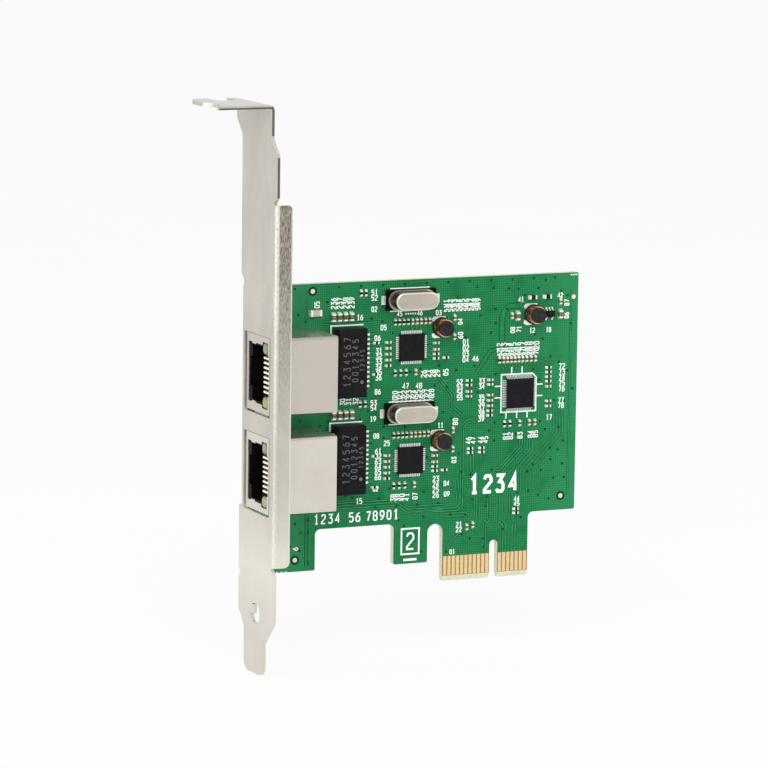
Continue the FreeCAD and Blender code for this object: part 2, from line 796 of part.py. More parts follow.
def crystal_can(middle):
    rim_top = crystal_base_height + crystal_rim_height
    rim = stadium(crystal_x, middle, crystal_rim_length, crystal_rim_width,
                  crystal_base_height, rim_top)
    can = stadium(crystal_x, middle, crystal_can_length, crystal_can_width,
                  crystal_base_height, crystal_top)
    top = [edge for edge in can.Edges if edge.CenterOfMass.z > crystal_top - 1e-6]
    return fused([rim, can.makeFillet(crystal_can_fillet, top)])


def crystal_leads(middle):
    leads = []
    for side in (-1, 1):
        x0 = crystal_x + side * crystal_base_length / 2
        x1 = x0 + side * crystal_lead_reach
        leads.append(box(min(x0, x1), max(x0, x1), middle - crystal_lead_width / 2,
                         middle + crystal_lead_width / 2, 0, crystal_lead_sheet))
    return leads


def inductor_core(x, y):
    top_floor = inductor_height - inductor_top_height
    return fused([
        cylinder(x, y, 0, inductor_base_height, inductor_base_radius),
        cylinder(x, y, 0, inductor_height, inductor_post_radius),
        cylinder(x, y, top_floor, inductor_height, inductor_top_radius),
    ])


def inductor_coil(x, y):
    low = inductor_base_height
    high = inductor_height - inductor_top_height
    ring = cylinder(x, y, low, high, coil_radius)
    return ring.cut(cylinder(x, y, low - 1, high + 1, inductor_post_radius + coil_gap))


def regulator_leads():
    lead = gull_lead(regulator_lead_reach, regulator_lead_width, regulator_lead_sheet,
                     regulator_top / 2)
    lead.translate(V(regulator_width / 2, 0, 0))
    leads = [turned(lead, 90, regulator_x + step * regulator_pitch, regulator_y)
             for step in (-1, 0, 1)]
    leads += [turned(lead, -90, regulator_x + step * regulator_pitch, regulator_y)
              for step in (-1, 1)]
    return leads


def small_chip(size, x, y, axis):
    """Body and two soldered ends of one small chip."""
    length, width, height, cap, solder = size
    middle = length / 2 - cap
    body = box(-middle, middle, -width / 2, width / 2, 0, height)
    end = polygon_prism([(middle, 0), (length / 2 + solder, 0), (length / 2, height),
                         (middle, height)], in_xz, -width / 2, V(0, width, 0))
    angle = 0 if axis == "x" else 90
    ends = [turned(end, angle, x, y), turned(end, angle + 180, x, y)]
    return turned(body, angle, x, y), ends


def place_chips():
    """All small chips, sorted into capacitor, resistor and large bodies and soldered ends."""
    sizes = {"small_capacitor": small_capacitor, "small_resistor": small_resistor,
             "medium_capacitor": medium_capacitor, "medium_resistor": medium_resistor,
             "large_capacitor": large_capacitor}
    rows = list(common_rows)
    for middle in lan_middle:
        rows += [(kind, lan_x + x, middle + y, dx, dy, count, axis)
                 for kind, x, y, dx, dy, count, axis in channel_rows]
    capacitors = []
    resistors = []
    large = []
    ends = []
    for kind, x, y, dx, dy, count, axis in rows:
        for index in range(count):
            body, caps = small_chip(sizes[kind], x + index * dx, y + index * dy, axis)
            if kind.startswith("large"):
                large.append(body)
            elif kind.endswith("capacitor"):
                capacitors.append(body)
            else:
                resistors.append(body)
            ends += caps
    return capacitors, resistors, large, ends


# ---- the whole card ----------------------------------------------------------------------------
def main():
    os.makedirs("parts", exist_ok=True)
    save("circuit_board", [circuit_board()])
    save("edge_contacts_front", edge_contacts(0))
    save("edge_contacts_back", edge_contacts(-board_thickness - contact_thickness))
    save("bracket", [bracket()])
    save("bracket_rivets", bracket_rivets())
    save("bridge_chip_body", [chip_body(bridge_x, bridge_y, bridge_size, bridge_size,
                                        bridge_lift, bridge_top)])
    save("bridge_chip_leads", bridge_leads())
    save("regulator_body", [chip_body(regulator_x, regulator_y, regulator_length,
                                      regulator_width, regulator_lift, regulator_top)])
    save("regulator_leads", regulator_leads())
    for index, level in enumerate(("upper", "lower")):
        middle = jack_middle[index]
        save(level + "_socket_shield", [jack_shield(middle)])
        save(level + "_socket_housing", [jack_housing(middle)])
        save(level + "_socket_contacts", jack_wires(middle))
        save(level + "_socket_tails", jack_tails(middle))
        save(level + "_green_lens", [jack_lens(middle, 1)])
        save(level + "_yellow_lens", [jack_lens(middle, -1)])
        save(level + "_transformer_body", [transformer_body(transformer_middle[index])])
        save(level + "_transformer_leads", transformer_leads(transformer_middle[index]))
        save(level + "_lan_chip_body", [chip_body(lan_x, lan_middle[index], lan_size, lan_size,
                                                  0, lan_height)])
        save(level + "_lan_chip_terminals", lan_terminals(lan_middle[index]))
        save(level + "_crystal_can", [crystal_can(crystal_middle[index])])
        save(level + "_crystal_base", [crystal_base(crystal_middle[index])])
        save(level + "_crystal_leads", crystal_leads(crystal_middle[index]))
    for level, x, y in inductor_places:
        save(level + "_inductor_core", [inductor_core(x, y)])
        save(level + "_inductor_coil", [inductor_coil(x, y)])
    capacitors, resistors, large, ends = place_chips()
    save("chip_capacitor_bodies", capacitors)
    save("chip_resistor_bodies", resistors)
    save("large_chip_body", large)
    save("chip_ends", ends)


main()
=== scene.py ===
import json
import math
import random

import bpy
from mathutils import Matrix, Vector

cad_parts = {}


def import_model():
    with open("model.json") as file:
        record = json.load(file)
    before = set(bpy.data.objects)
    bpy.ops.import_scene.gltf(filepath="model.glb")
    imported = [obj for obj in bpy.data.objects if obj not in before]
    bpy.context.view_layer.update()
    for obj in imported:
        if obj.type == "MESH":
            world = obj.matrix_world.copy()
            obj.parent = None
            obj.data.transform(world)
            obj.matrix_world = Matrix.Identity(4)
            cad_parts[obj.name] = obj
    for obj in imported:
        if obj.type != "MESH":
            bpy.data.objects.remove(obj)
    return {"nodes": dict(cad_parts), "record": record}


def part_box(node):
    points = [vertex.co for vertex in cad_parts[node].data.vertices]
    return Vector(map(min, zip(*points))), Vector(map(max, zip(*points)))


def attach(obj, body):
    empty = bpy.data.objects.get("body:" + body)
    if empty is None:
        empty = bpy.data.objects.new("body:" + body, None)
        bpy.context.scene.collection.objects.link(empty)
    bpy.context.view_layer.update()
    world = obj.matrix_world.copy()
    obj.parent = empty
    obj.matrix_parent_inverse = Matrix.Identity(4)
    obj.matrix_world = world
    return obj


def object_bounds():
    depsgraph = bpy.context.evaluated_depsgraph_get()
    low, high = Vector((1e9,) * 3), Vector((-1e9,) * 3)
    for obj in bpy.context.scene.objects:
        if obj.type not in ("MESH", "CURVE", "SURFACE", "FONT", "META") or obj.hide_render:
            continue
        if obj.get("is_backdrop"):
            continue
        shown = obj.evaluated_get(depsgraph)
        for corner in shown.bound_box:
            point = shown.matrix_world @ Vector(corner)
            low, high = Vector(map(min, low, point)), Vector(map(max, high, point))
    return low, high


# Looks of the two-port network card.  Places on the board are written as in the card's drawing:
# x along the card, y up the card and h out of the component side, all in millimetres.

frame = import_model()
cad_low, cad_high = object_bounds()
nodes = frame["nodes"]
random.seed(7)

MM = 0.001
X, Y, Z = 0, 1, 2


def box(name):
    """Lowest and highest corner of a CAD piece, in millimetres."""
    return [[round(value / MM, 3) for value in corner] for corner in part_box(name)]


def centre(name, axis):
    """Middle of a CAD piece along one axis."""
    low, high = box(name)
    return round((low[axis] + high[axis]) / 2, 3)


def pair(kind):
    """Heights up the board of the two parts of a kind, upper first."""
    return [centre(which + kind, Z) for which in ("upper_", "lower_")]


BOARD = box("circuit_board")[1][Y]
FRONT = 0.0
BACK = -BOARD
SOCKETS = pair("socket_shield")
TRANSFORMERS = pair("transformer_body")
CONTROLLERS = pair("lan_chip_body")
CRYSTALS = pair("crystal_can")
INDUCTORS = [(centre(coil, X), centre(coil, Z)) for coil in
             ("upper_inductor_coil", "lower_inductor_coil", "supply_inductor_coil")]

# The contact tongue is bare a little beyond its contacts.
contacts_low, contacts_high = box("edge_contacts_front")
BARE_TOP = contacts_high[Z] + 0.05
BARE_MIDDLE = centre("edge_contacts_front", X)
BARE_HALF = (contacts_high[X] - contacts_low[X]) / 2 + 0.45

# Pins of a socket, behind its front and beside its middle.
shield_low, shield_high = box("upper_socket_shield")
SOCKET_FRONT = shield_low[X]
PIN_ROWS = (10.2, 12.0)
PIN_COUNT = 8
PIN_PITCH = 1.02
LAMP_PIN_ROW = 13.6
LAMP_PINS = (-6.5, -5.2, 5.2, 6.5)
SHIELD_LEG_ROW = 9.6

# The slot bracket, where its finish changes.
FACE = -58.2                # outer face of the upright plate
SHEET = 0.8
SHEAR_DEPTH = 0.23          # cut edges are smooth to this depth and torn beyond it
FLANGE_START = FACE + SHEET + 0.05
FLANGE_DEPTH = 3.7
LIP_WIDTH = 0.25            # painted highlight on the free edge of the flange
FLANGE_LIP = FACE + FLANGE_DEPTH - LIP_WIDTH
TAB_TOP = box("bracket")[1][Z]
TAB_UNDERSIDE = TAB_TOP - SHEET - 0.06
WINDOW_GAP = 0.12           # between a socket and the edge of its window
WINDOW_MIDDLE = shield_low[Y] / 2
WINDOW_HALF_DEPTH = -shield_low[Y] / 2 + WINDOW_GAP
WINDOW_HALF_HEIGHT = (shield_high[Z] - shield_low[Z]) / 2 + WINDOW_GAP
WINDOW_RIM = 0.14           # painted shade in a rim above and below a window
WINDOW_RIM_SIDE = 0.35      # and beside it

# How far thin work stands off the board, lowest first.
CLEAR_LIFT = 0.008
LANE_LIFT = 0.012
TRACK_LIFT = 0.016
LAND_LIFT = 0.02
VIA_LIFT = 0.024
HUB_LIFT = 0.028
PRINT_LIFT = 0.03
TICK_LIFT = 0.034
INDUCTOR_LAND_LIFT = 0.05
TRANSFORMER_PRINT_LIFT = 0.02 - box("upper_transformer_body")[0][Y]

# Plated holes.
VIA_RADIUS = 0.28
HUB_RADIUS = 0.12
VIA_SPACING = 1.7
MOST_VIAS = 176
VIA_TRIES = 900

COIL_PITCH = 0.22           # wire to wire
HATCH_PITCH = 0.508         # of the copper mesh under the solder mask


# ---- colours and materials -----------------------------------------------------------------------
def srgb(red, green, blue):
    """Scene-linear colour of a display colour given from 0 to 255."""
    out = []
    for value in (red, green, blue):
        c = value / 255
        out.append(c / 12.92 if c <= 0.04045 else ((c + 0.055) / 1.055) ** 2.4)
    return (out[0], out[1], out[2], 1.0)


class Paint:
    """One node material, with small helpers to chain its nodes."""

    def __init__(self, name):
        self.material = bpy.data.materials.new(name)
        self.material.use_nodes = True
        self.tree = self.material.node_tree
        self.tree.nodes.clear()
        self.output = self.add("ShaderNodeOutputMaterial")
        self.shader = self.add("ShaderNodeBsdfPrincipled")
        self.link(self.shader.outputs[0], self.output.inputs["Surface"])
        place = self.add("ShaderNodeTexCoord")
        scale = self.add("ShaderNodeVectorMath", operation="MULTIPLY")
        scale.inputs[1].default_value = (1000, 1000, 1000)
        self.link(place.outputs["Object"], scale.inputs[0])
        self.place = scale.outputs[0]
        split = self.add("ShaderNodeSeparateXYZ")
        self.link(self.place, split.inputs[0])
        self.x, self.y, self.z = split.outputs
        self.bump = None

    def facing(self):
        """How far the surface faces along x, y and z."""
        parts = self.add("ShaderNodeSeparateXYZ")
        self.link(self.add("ShaderNodeNewGeometry").outputs["Normal"], parts.inputs[0])
        return parts.outputs

    def add(self, kind, **values):
        node = self.tree.nodes.new(kind)
        for name, value in values.items():
            setattr(node, name, value)
        return node

    def link(self, source, target):
        self.tree.links.new(source, target)

    def feed(self, socket, value):
        if isinstance(value, (int, float, tuple)):
            socket.default_value = value
        else:
            self.link(value, socket)

    def math(self, operation, a, b=0.0, clamp=False):
        node = self.add("ShaderNodeMath", operation=operation, use_clamp=clamp)
        self.feed(node.inputs[0], a)
        self.feed(node.inputs[1], b)
        return node.outputs[0]

    def times(self, a, b):
        return self.math("MULTIPLY", a, b)

    def most(self, a, b):
        return self.math("MAXIMUM", a, b)

    def apart(self, value, middle):
        """How far a value lies from a middle, on either side."""
        return self.math("ABSOLUTE", self.math("SUBTRACT", value, middle))

    def noise(self, scale, detail=3.0, rough=0.55, stretch=(1, 1, 1)):
        """Noise from 0 to 1; scale is in features to a millimetre."""
        source = self.place
        if stretch != (1, 1, 1):
            node = self.add("ShaderNodeVectorMath", operation="MULTIPLY")
            self.link(self.place, node.inputs[0])
            node.inputs[1].default_value = stretch
            source = node.outputs[0]
        noise = self.add("ShaderNodeTexNoise")
        self.link(source, noise.inputs["Vector"])
        noise.inputs["Scale"].default_value = scale
        noise.inputs["Detail"].default_value = detail
        noise.inputs["Roughness"].default_value = rough
        return noise.outputs["Fac"]

    def ramp(self, value, low, high, colour_low, colour_high):
        """Colour that goes from one to the other as value goes from low to high."""
        node = self.add("ShaderNodeValToRGB")
        node.color_ramp.elements[0].position = low
        node.color_ramp.elements[0].color = colour_low
        node.color_ramp.elements[1].position = high
        node.color_ramp.elements[1].color = colour_high
        self.feed(node.inputs[0], value)
        return node.outputs[0]

    def span(self, value, low, high, out_low, out_high):
        """Number that goes from out_low to out_high as value goes from low to high, and stays there."""
        node = self.add("ShaderNodeMapRange")
        self.feed(node.inputs[0], value)
        node.inputs[1].default_value = low
        node.inputs[2].default_value = high
        node.inputs[3].default_value = out_low
        node.inputs[4].default_value = out_high
        return node.outputs[0]

    def mix(self, factor, a, b, blend="MIX"):
        """Colour a with factor of colour b laid over it."""
        node = self.add("ShaderNodeMix", data_type="RGBA", blend_type=blend)
        self.feed(node.inputs[0], factor)
        self.feed(node.inputs[6], a)
        self.feed(node.inputs[7], b)
        return node.outputs[2]

    def raise_by(self, height, distance, strength=1.0):
        """Bump of a height from 0 to 1, over a distance in millimetres, on top of any before it."""
        node = self.add("ShaderNodeBump")
        node.inputs["Strength"].default_value = strength
        node.inputs["Distance"].default_value = distance * MM
        self.feed(node.inputs["Height"], height)
        if self.bump is not None:
            self.link(self.bump, node.inputs["Normal"])
        self.bump = node.outputs[0]

    def finish(self, colour, roughness, **values):
        """Fill the shader; other inputs are given by name, with _ for each space."""
        self.feed(self.shader.inputs["Base Color"], colour)
        self.feed(self.shader.inputs["Roughness"], roughness)
        for name, value in values.items():
            self.shader.inputs[name.replace("_", " ")].default_value = value
        # An emission strength makes the surface glow a little in its own colour: painted light.
        if "Emission_Strength" in values:
            self.feed(self.shader.inputs["Emission Color"], colour)
        if self.bump is not None:
            self.link(self.bump, self.shader.inputs["Normal"])
        return self.material


def board_paint():
    """Solder mask over a hatched copper pour, with pale glass fibre on the cut edges."""
    paint = Paint("board_mask")

    def line(axis):
        wave = paint.math("SINE", paint.times(axis, math.tau / HATCH_PITCH))
        return paint.span(wave, 0.1, 0.75, 0.0, 1.0)

    grid = paint.math("MAXIMUM", line(paint.x), line(paint.z), clamp=True)
    patches = paint.span(paint.noise(0.16, 2.0), 0.34, 0.5, 0.35, 1.0)
    grid = paint.math("MULTIPLY", grid, patches, clamp=True)
    mask = paint.mix(grid, srgb(12, 104, 56), srgb(42, 150, 92))
    broad = paint.noise(0.09, 3.0)
    mask = paint.mix(paint.span(broad, 0.35, 0.65, 0.0, 0.35), mask, srgb(14, 124, 70))
    fine = paint.noise(5.0, 3.0)
    mask = paint.mix(paint.span(fine, 0.35, 0.65, 0.0, 0.3), mask, srgb(4, 82, 42))
    flecks = paint.noise(2.2, 4.0, 0.7)
    mask = paint.mix(paint.span(flecks, 0.58, 0.7, 0.0, 0.35), mask, srgb(76, 174, 120))
    # Painted light: the board is made lighter towards its left and right ends.
    ends = paint.most(paint.span(paint.x, -50.0, -40.0, 0.55, 0.0),
                      paint.span(paint.x, 6.0, 19.0, 0.0, 0.3))
    mask = paint.mix(ends, mask, srgb(62, 166, 110))
    fibre = paint.ramp(paint.noise(2.5, 5.0, 0.6, (1, 6, 1)), 0.3, 0.75,
                       srgb(216, 212, 182), srgb(246, 243, 226))
    bevel = paint.ramp(paint.noise(1.2, 4.0), 0.3, 0.7, srgb(222, 222, 190), srgb(240, 240, 216))
    laminate = paint.ramp(paint.noise(2.0, 4.0, 0.6, (4, 1, 1)), 0.3, 0.7,
                          srgb(150, 112, 58), srgb(188, 148, 90))
    face = paint.math("ABSOLUTE", paint.facing()[1])
    flat = paint.math("GREATER_THAN", face, 0.95)
    slanted = paint.times(paint.math("GREATER_THAN", face, 0.5), paint.math("LESS_THAN", face, 0.95))
    tongue = paint.math("LESS_THAN", paint.z, BARE_TOP)
    between = paint.math("LESS_THAN", paint.apart(paint.x, BARE_MIDDLE), BARE_HALF)
    bare = paint.times(tongue, between)
    green = paint.times(flat, paint.math("SUBTRACT", 1.0, bare))
    brown = paint.times(flat, bare)
    colour = paint.mix(green, fibre, mask)
    colour = paint.mix(brown, colour, laminate)
    colour = paint.mix(slanted, colour, bevel)
    paint.raise_by(grid, 0.012, 0.5)
    paint.raise_by(fine, 0.004, 0.3)
    rough = paint.span(broad, 0.3, 0.7, 0.36, 0.48)
    return paint.finish(colour, rough, Specular_IOR_Level=0.16)


def mask_paint(name, dark, light):
    """Smooth solder mask, for tracks and the clear strips beside them."""
    paint = Paint(name)
    tone = paint.noise(0.5, 3.0)
    colour = paint.ramp(tone, 0.3, 0.7, dark, light)
    paint.raise_by(paint.noise(5.0, 2.0), 0.004, 0.3)
    return paint.finish(colour, paint.span(tone, 0.3, 0.7, 0.33, 0.42), Specular_IOR_Level=0.16)


def plain_paint(name, dark, light, scale, rough_low, rough_high, grain, grain_scale, metal=0.0,
                **values):
    """Finish with a gentle change of tone and roughness over a fine grain."""
    paint = Paint(name)
    tone = paint.noise(scale, 4.0, 0.6)
    colour = paint.ramp(tone, 0.3, 0.7, dark, light)
    paint.raise_by(paint.noise(grain_scale, 3.0, 0.6), grain, 0.6)
    rough = paint.span(tone, 0.3, 0.7, rough_low, rough_high)
    return paint.finish(colour, rough, Metallic=metal, **values)


def bracket_paint():
    """Nickel-plated sheet with painted light that makes it brighter low down, grain and painted shade at
    the top of the front flange, painted highlights on the flange's free edge, the bend and upward faces,
    and painted shade round the socket windows.
    """
    paint = Paint("bracket_nickel")
    bright = srgb(250, 246, 236)
    cloud = paint.noise(0.09, 4.0, 0.6, (1.0, 1.0, 0.6))
    speck = paint.noise(1.6, 4.0, 0.7)
    base = paint.ramp(cloud, 0.32, 0.68, srgb(198, 193, 184), srgb(220, 216, 206))
    base = paint.mix(paint.span(speck, 0.35, 0.65, 0.0, 0.2), base, srgb(178, 172, 160))
    rolled = paint.noise(0.9, 5.0, 0.65, (1, 1, 0.12))
    base = paint.mix(paint.span(rolled, 0.4, 0.7, 0.0, 0.14), base, srgb(232, 229, 221))
    # Painted light: the plate is made brighter low down.
    low = paint.times(paint.span(paint.z, 8.0, 24.0, 0.6, 0.0),
                      paint.span(paint.z, -12.0, 8.0, 0.35, 1.0))
    base = paint.mix(low, base, bright)

    # The front flange: grainy, with painted shade that darkens it high up, and a painted highlight on
    # its free edge.
    facing = paint.facing()
    front = paint.span(facing[1], -0.97, -0.9, 1.0, 0.0)
    flange = paint.times(front, paint.math("GREATER_THAN", paint.x, FLANGE_START))
    grain = paint.ramp(paint.noise(3.0, 5.0, 0.75, (1.7, 1.0, 0.3)), 0.38, 0.64,
                       srgb(52, 46, 38), srgb(204, 194, 178))
    # Painted shade: the grain darkens the flange more the higher it goes.
    base = paint.mix(paint.times(flange, paint.span(paint.z, 34.0, 72.0, 0.0, 0.92)), base, grain)
    # Painted highlight along the free edge of the flange.
    painted_lip_highlight = paint.times(flange, paint.span(paint.x, FLANGE_LIP - 0.1, FLANGE_LIP + 0.1, 0.0, 0.6))
    base = paint.mix(painted_lip_highlight, base, bright)

    # Painted highlight, speckled, on the bend between the plate and the flange.
    bend = paint.times(paint.span(facing[1], -0.9, -0.82, 0.0, 1.0),
                       paint.span(facing[1], -0.42, -0.3, 1.0, 0.0))
    painted_bend_highlight = paint.ramp(paint.noise(3.0, 4.0, 0.7, (1, 1, 0.6)), 0.38, 0.62,
                          srgb(206, 199, 186), bright)
    base = paint.mix(paint.times(bend, paint.span(paint.z, 35.0, 80.0, 0.3, 0.85)), base, painted_bend_highlight)

    # Cut edges high up, dark where the sheet is torn.
    cut = paint.times(paint.times(front, paint.span(paint.z, 84.0, 85.0, 0.0, 0.85)),
                      paint.span(facing[2], 0.0, 0.05, 1.0, 0.0))
    torn_from = FACE + SHEAR_DEPTH
    inner = paint.span(paint.x, torn_from - 0.05, torn_from + 0.05, 0.0, 1.0)
    under = paint.span(paint.z, TAB_TOP - SHEET / 2 - 0.06, TAB_TOP - SHEET / 2 + 0.06, 1.0, 0.0)
    torn = paint.times(paint.most(inner, under),
                       paint.most(inner, paint.math("GREATER_THAN", paint.z, TAB_UNDERSIDE)))
    base = paint.mix(paint.times(cut, torn), base, srgb(74, 73, 74))

    # Painted shade in a thin rim round the two socket windows, on the outer face, where the gap beside
    # each socket looks dark.
    for height in SOCKETS:
        across = paint.math("SUBTRACT", paint.apart(paint.y, WINDOW_MIDDLE), WINDOW_HALF_DEPTH)
        upward = paint.math("SUBTRACT", paint.apart(paint.z, height), WINDOW_HALF_HEIGHT)
        beyond = paint.most(paint.times(across, WINDOW_RIM / WINDOW_RIM_SIDE), upward)
        rim = paint.times(paint.math("LESS_THAN", beyond, WINDOW_RIM),
                          paint.math("LESS_THAN", facing[0], -0.9))
        base = paint.mix(paint.times(rim, 0.7), base, srgb(96, 90, 80))
    # Painted light: faces that look upward are painted nearly white.
    top = paint.span(facing[2], 0.6, 0.95, 0.0, 0.9)
    base = paint.mix(top, base, srgb(254, 253, 250))
    paint.raise_by(paint.noise(3.0, 3.0), 0.006, 0.35)
    rough = paint.span(cloud, 0.3, 0.7, 0.36, 0.48)
    return paint.finish(base, rough, Metallic=0.82)


def can_paint():
    """Crystal can: satin lid, with a painted highlight on its rounded rim and painted shade on its
    walls, darkest near the base.
    """
    paint = Paint("crystal_can")
    tone = paint.noise(0.35, 4.0, 0.6, (0.4, 1, 1))
    colour = paint.ramp(tone, 0.3, 0.7, srgb(186, 177, 160), srgb(206, 198, 184))
    facing = paint.facing()
    level = facing[1]
    # Painted highlight: the rounded rim is painted bright, as a reflection.
    rim = paint.times(paint.span(level, -0.97, -0.9, 0.0, 1.0),
                      paint.span(level, -0.35, -0.2, 1.0, 0.0))
    colour = paint.mix(rim, colour, srgb(254, 250, 236))
    # Painted shade on the walls, darker near the base and on walls that face towards -x.
    dark = paint.most(paint.span(paint.y, -3.8, -2.2, 0.3, 0.95),
                      paint.span(facing[0], -0.6, -0.2, 0.95, 0.0))
    painted_wall_shade = paint.times(paint.span(level, -0.35, -0.2, 0.0, 1.0), dark)
    colour = paint.mix(painted_wall_shade, colour, srgb(58, 44, 28))
    paint.raise_by(paint.noise(3.0, 3.0, 0.6), 0.008, 0.6)
    return paint.finish(colour, paint.span(tone, 0.3, 0.7, 0.3, 0.4), Metallic=0.8)


def shield_paint():
    """Tinned socket shield, with painted shade that makes the upper socket a little darker."""
    paint = Paint("shield_tin")
    tone = paint.noise(0.12, 4.0, 0.6)
    colour = paint.ramp(tone, 0.3, 0.7, srgb(212, 205, 195), srgb(224, 218, 208))
    # Painted shade: darker from z 36 up, over the upper socket.
    colour = paint.mix(paint.span(paint.z, 36.0, 40.0, 0.0, 0.6), colour, srgb(192, 185, 173))
    paint.raise_by(paint.noise(2.0, 3.0, 0.6), 0.003, 0.6)
    return paint.finish(colour, paint.span(tone, 0.3, 0.7, 0.22, 0.32), Metallic=0.88)


def coil_paint():
    """Enamelled copper wire wound side by side round the core."""
    paint = Paint("copper_winding")
    # Each wire is painted lighter along its crest and darker between wires: painted highlight and
    # painted shade.
    wave = paint.math("SINE", paint.times(paint.y, math.tau / COIL_PITCH))
    colour = paint.ramp(paint.span(wave, -1.0, 1.0, 0.0, 1.0), 0.15, 0.85,
                        srgb(126, 54, 18), srgb(255, 196, 142))
    # Painted shade in random darker patches.
    shade = paint.ramp(paint.noise(0.7, 2.0), 0.4, 0.58, srgb(62, 28, 14), srgb(255, 255, 255))
    colour = paint.mix(0.85, colour, shade, "MULTIPLY")
    paint.raise_by(wave, 0.05, 0.8)
    return paint.finish(colour, 0.26, Metallic=0.7)


def gold_paint():
    """Gold on the edge contacts, drawn out along them."""
    paint = Paint("edge_gold")
    tone = paint.noise(0.8, 4.0, 0.6, (6, 1, 1))
    colour = paint.ramp(tone, 0.3, 0.7, srgb(226, 198, 142), srgb(250, 228, 180))
    paint.raise_by(paint.noise(3.0, 2.0, 0.5, (6, 1, 1)), 0.003, 0.3)
    return paint.finish(colour, paint.span(tone, 0.3, 0.7, 0.24, 0.34), Metallic=0.75)


def lens_paint(name, dark, light):
    """Clear plastic of an indicator, darker on its sides."""
    paint = Paint(name)
    tone = paint.noise(0.8, 2.0)
    colour = paint.ramp(tone, 0.3, 0.7, dark, light)
    paint.raise_by(paint.noise(2.0, 1.0), 0.01, 0.3)
    facing = paint.facing()
    edge = paint.span(facing[0], -0.95, -0.6, 0.0, 0.7)
    colour = paint.mix(edge, colour, srgb(60, 66, 46))
    return paint.finish(colour, 0.28, Transmission_Weight=0.1, IOR=1.49)


paints = {
    "board_mask": board_paint(),
    "track_mask": mask_paint("track_mask", srgb(36, 142, 86), srgb(62, 166, 110)),
    "clear_mask": mask_paint("clear_mask", srgb(2, 76, 38), srgb(10, 94, 50)),
    "lane_mask": mask_paint("lane_mask", srgb(22, 124, 70), srgb(38, 142, 86)),
    "via_mask": mask_paint("via_mask", srgb(2, 52, 28), srgb(6, 66, 38)),
    # The white print glows a little by emission: painted light.
    "legend_white": plain_paint("legend_white", srgb(244, 248, 245), srgb(254, 255, 254), 1.4,
                                0.5, 0.62, 0.006, 5.0, Emission_Strength=0.16),
    "edge_gold": gold_paint(),
    "bracket_steel": bracket_paint(),
    "rivet_steel": plain_paint("rivet_steel", srgb(170, 168, 160), srgb(214, 212, 206), 0.7,
                               0.3, 0.42, 0.006, 4.0, 0.9),
    "shield_steel": shield_paint(),
    "socket_plastic": plain_paint("socket_plastic", srgb(5, 5, 6), srgb(13, 13, 14), 1.2,
                                  0.42, 0.55, 0.01, 5.0, Specular_IOR_Level=0.12),
    # The socket contacts glow a little by emission: painted light.
    "contact_gold": plain_paint("contact_gold", srgb(236, 226, 200), srgb(254, 250, 238), 1.0,
                                0.22, 0.3, 0.004, 3.0, 0.6, Emission_Strength=0.12),
    "green_lens": lens_paint("green_lens", srgb(112, 130, 100), srgb(146, 162, 126)),
    "yellow_lens": lens_paint("yellow_lens", srgb(150, 146, 84), srgb(184, 180, 116)),
    "tinned_lead": plain_paint("tinned_lead", srgb(232, 234, 232), srgb(254, 254, 252), 1.5,
                               0.24, 0.36, 0.006, 4.0, 0.6),
    "chip_black": plain_paint("chip_epoxy", srgb(12, 10, 15), srgb(26, 24, 29), 0.9,
                              0.46, 0.6, 0.012, 7.0, Specular_IOR_Level=0.14),
    "crystal_can": can_paint(),
    "crystal_base": plain_paint("crystal_base", srgb(4, 4, 5), srgb(12, 11, 12), 1.0,
                                0.4, 0.5, 0.01, 5.0, Specular_IOR_Level=0.1),
    "ferrite": plain_paint("ferrite", srgb(28, 27, 32), srgb(50, 48, 56), 1.6,
                           0.4, 0.55, 0.02, 4.0, Specular_IOR_Level=0.16),
    "pale_ceramic": plain_paint("pale_ceramic", srgb(188, 182, 164), srgb(216, 212, 196), 1.0,
                                0.4, 0.5, 0.006, 5.0),
    "copper_wire": coil_paint(),
    "capacitor_ceramic": plain_paint("capacitor_ceramic", srgb(90, 80, 48), srgb(142, 134, 94),
                                     0.8, 0.4, 0.5, 0.006, 5.0, Specular_IOR_Level=0.25),
    "resistor_glaze": plain_paint("resistor_glaze", srgb(6, 6, 8), srgb(30, 26, 24), 1.4,
                                  0.25, 0.35, 0.004, 5.0, Specular_IOR_Level=0.2),
    "mark_copper": plain_paint("mark_copper", srgb(228, 224, 186), srgb(242, 238, 206), 1.2,
                               0.3, 0.4, 0.004, 3.0, 0.3),
    "ink_grey": plain_paint("ink_grey", srgb(92, 92, 94), srgb(112, 112, 114), 1.2,
                            0.5, 0.6, 0.004, 4.0),
    # The solder glows a little by emission: painted light.
    "solder": plain_paint("solder", srgb(246, 244, 232), srgb(255, 254, 248), 1.3,
                          0.22, 0.36, 0.01, 3.0, 0.5, Emission_Strength=0.06),
}

slot_of = {part["node"]: part["material_slot"] for part in frame["record"]["subparts"]}
for name, node in nodes.items():
    node.data.materials.clear()
    node.data.materials.append(paints[slot_of[name]])


# ---- thin work on the board ------------------------------------------------------------------------
def at(x, y, h):
    """Point of the frame, in metres, for a place on the board."""
    return Vector((x, -h, y)) * MM


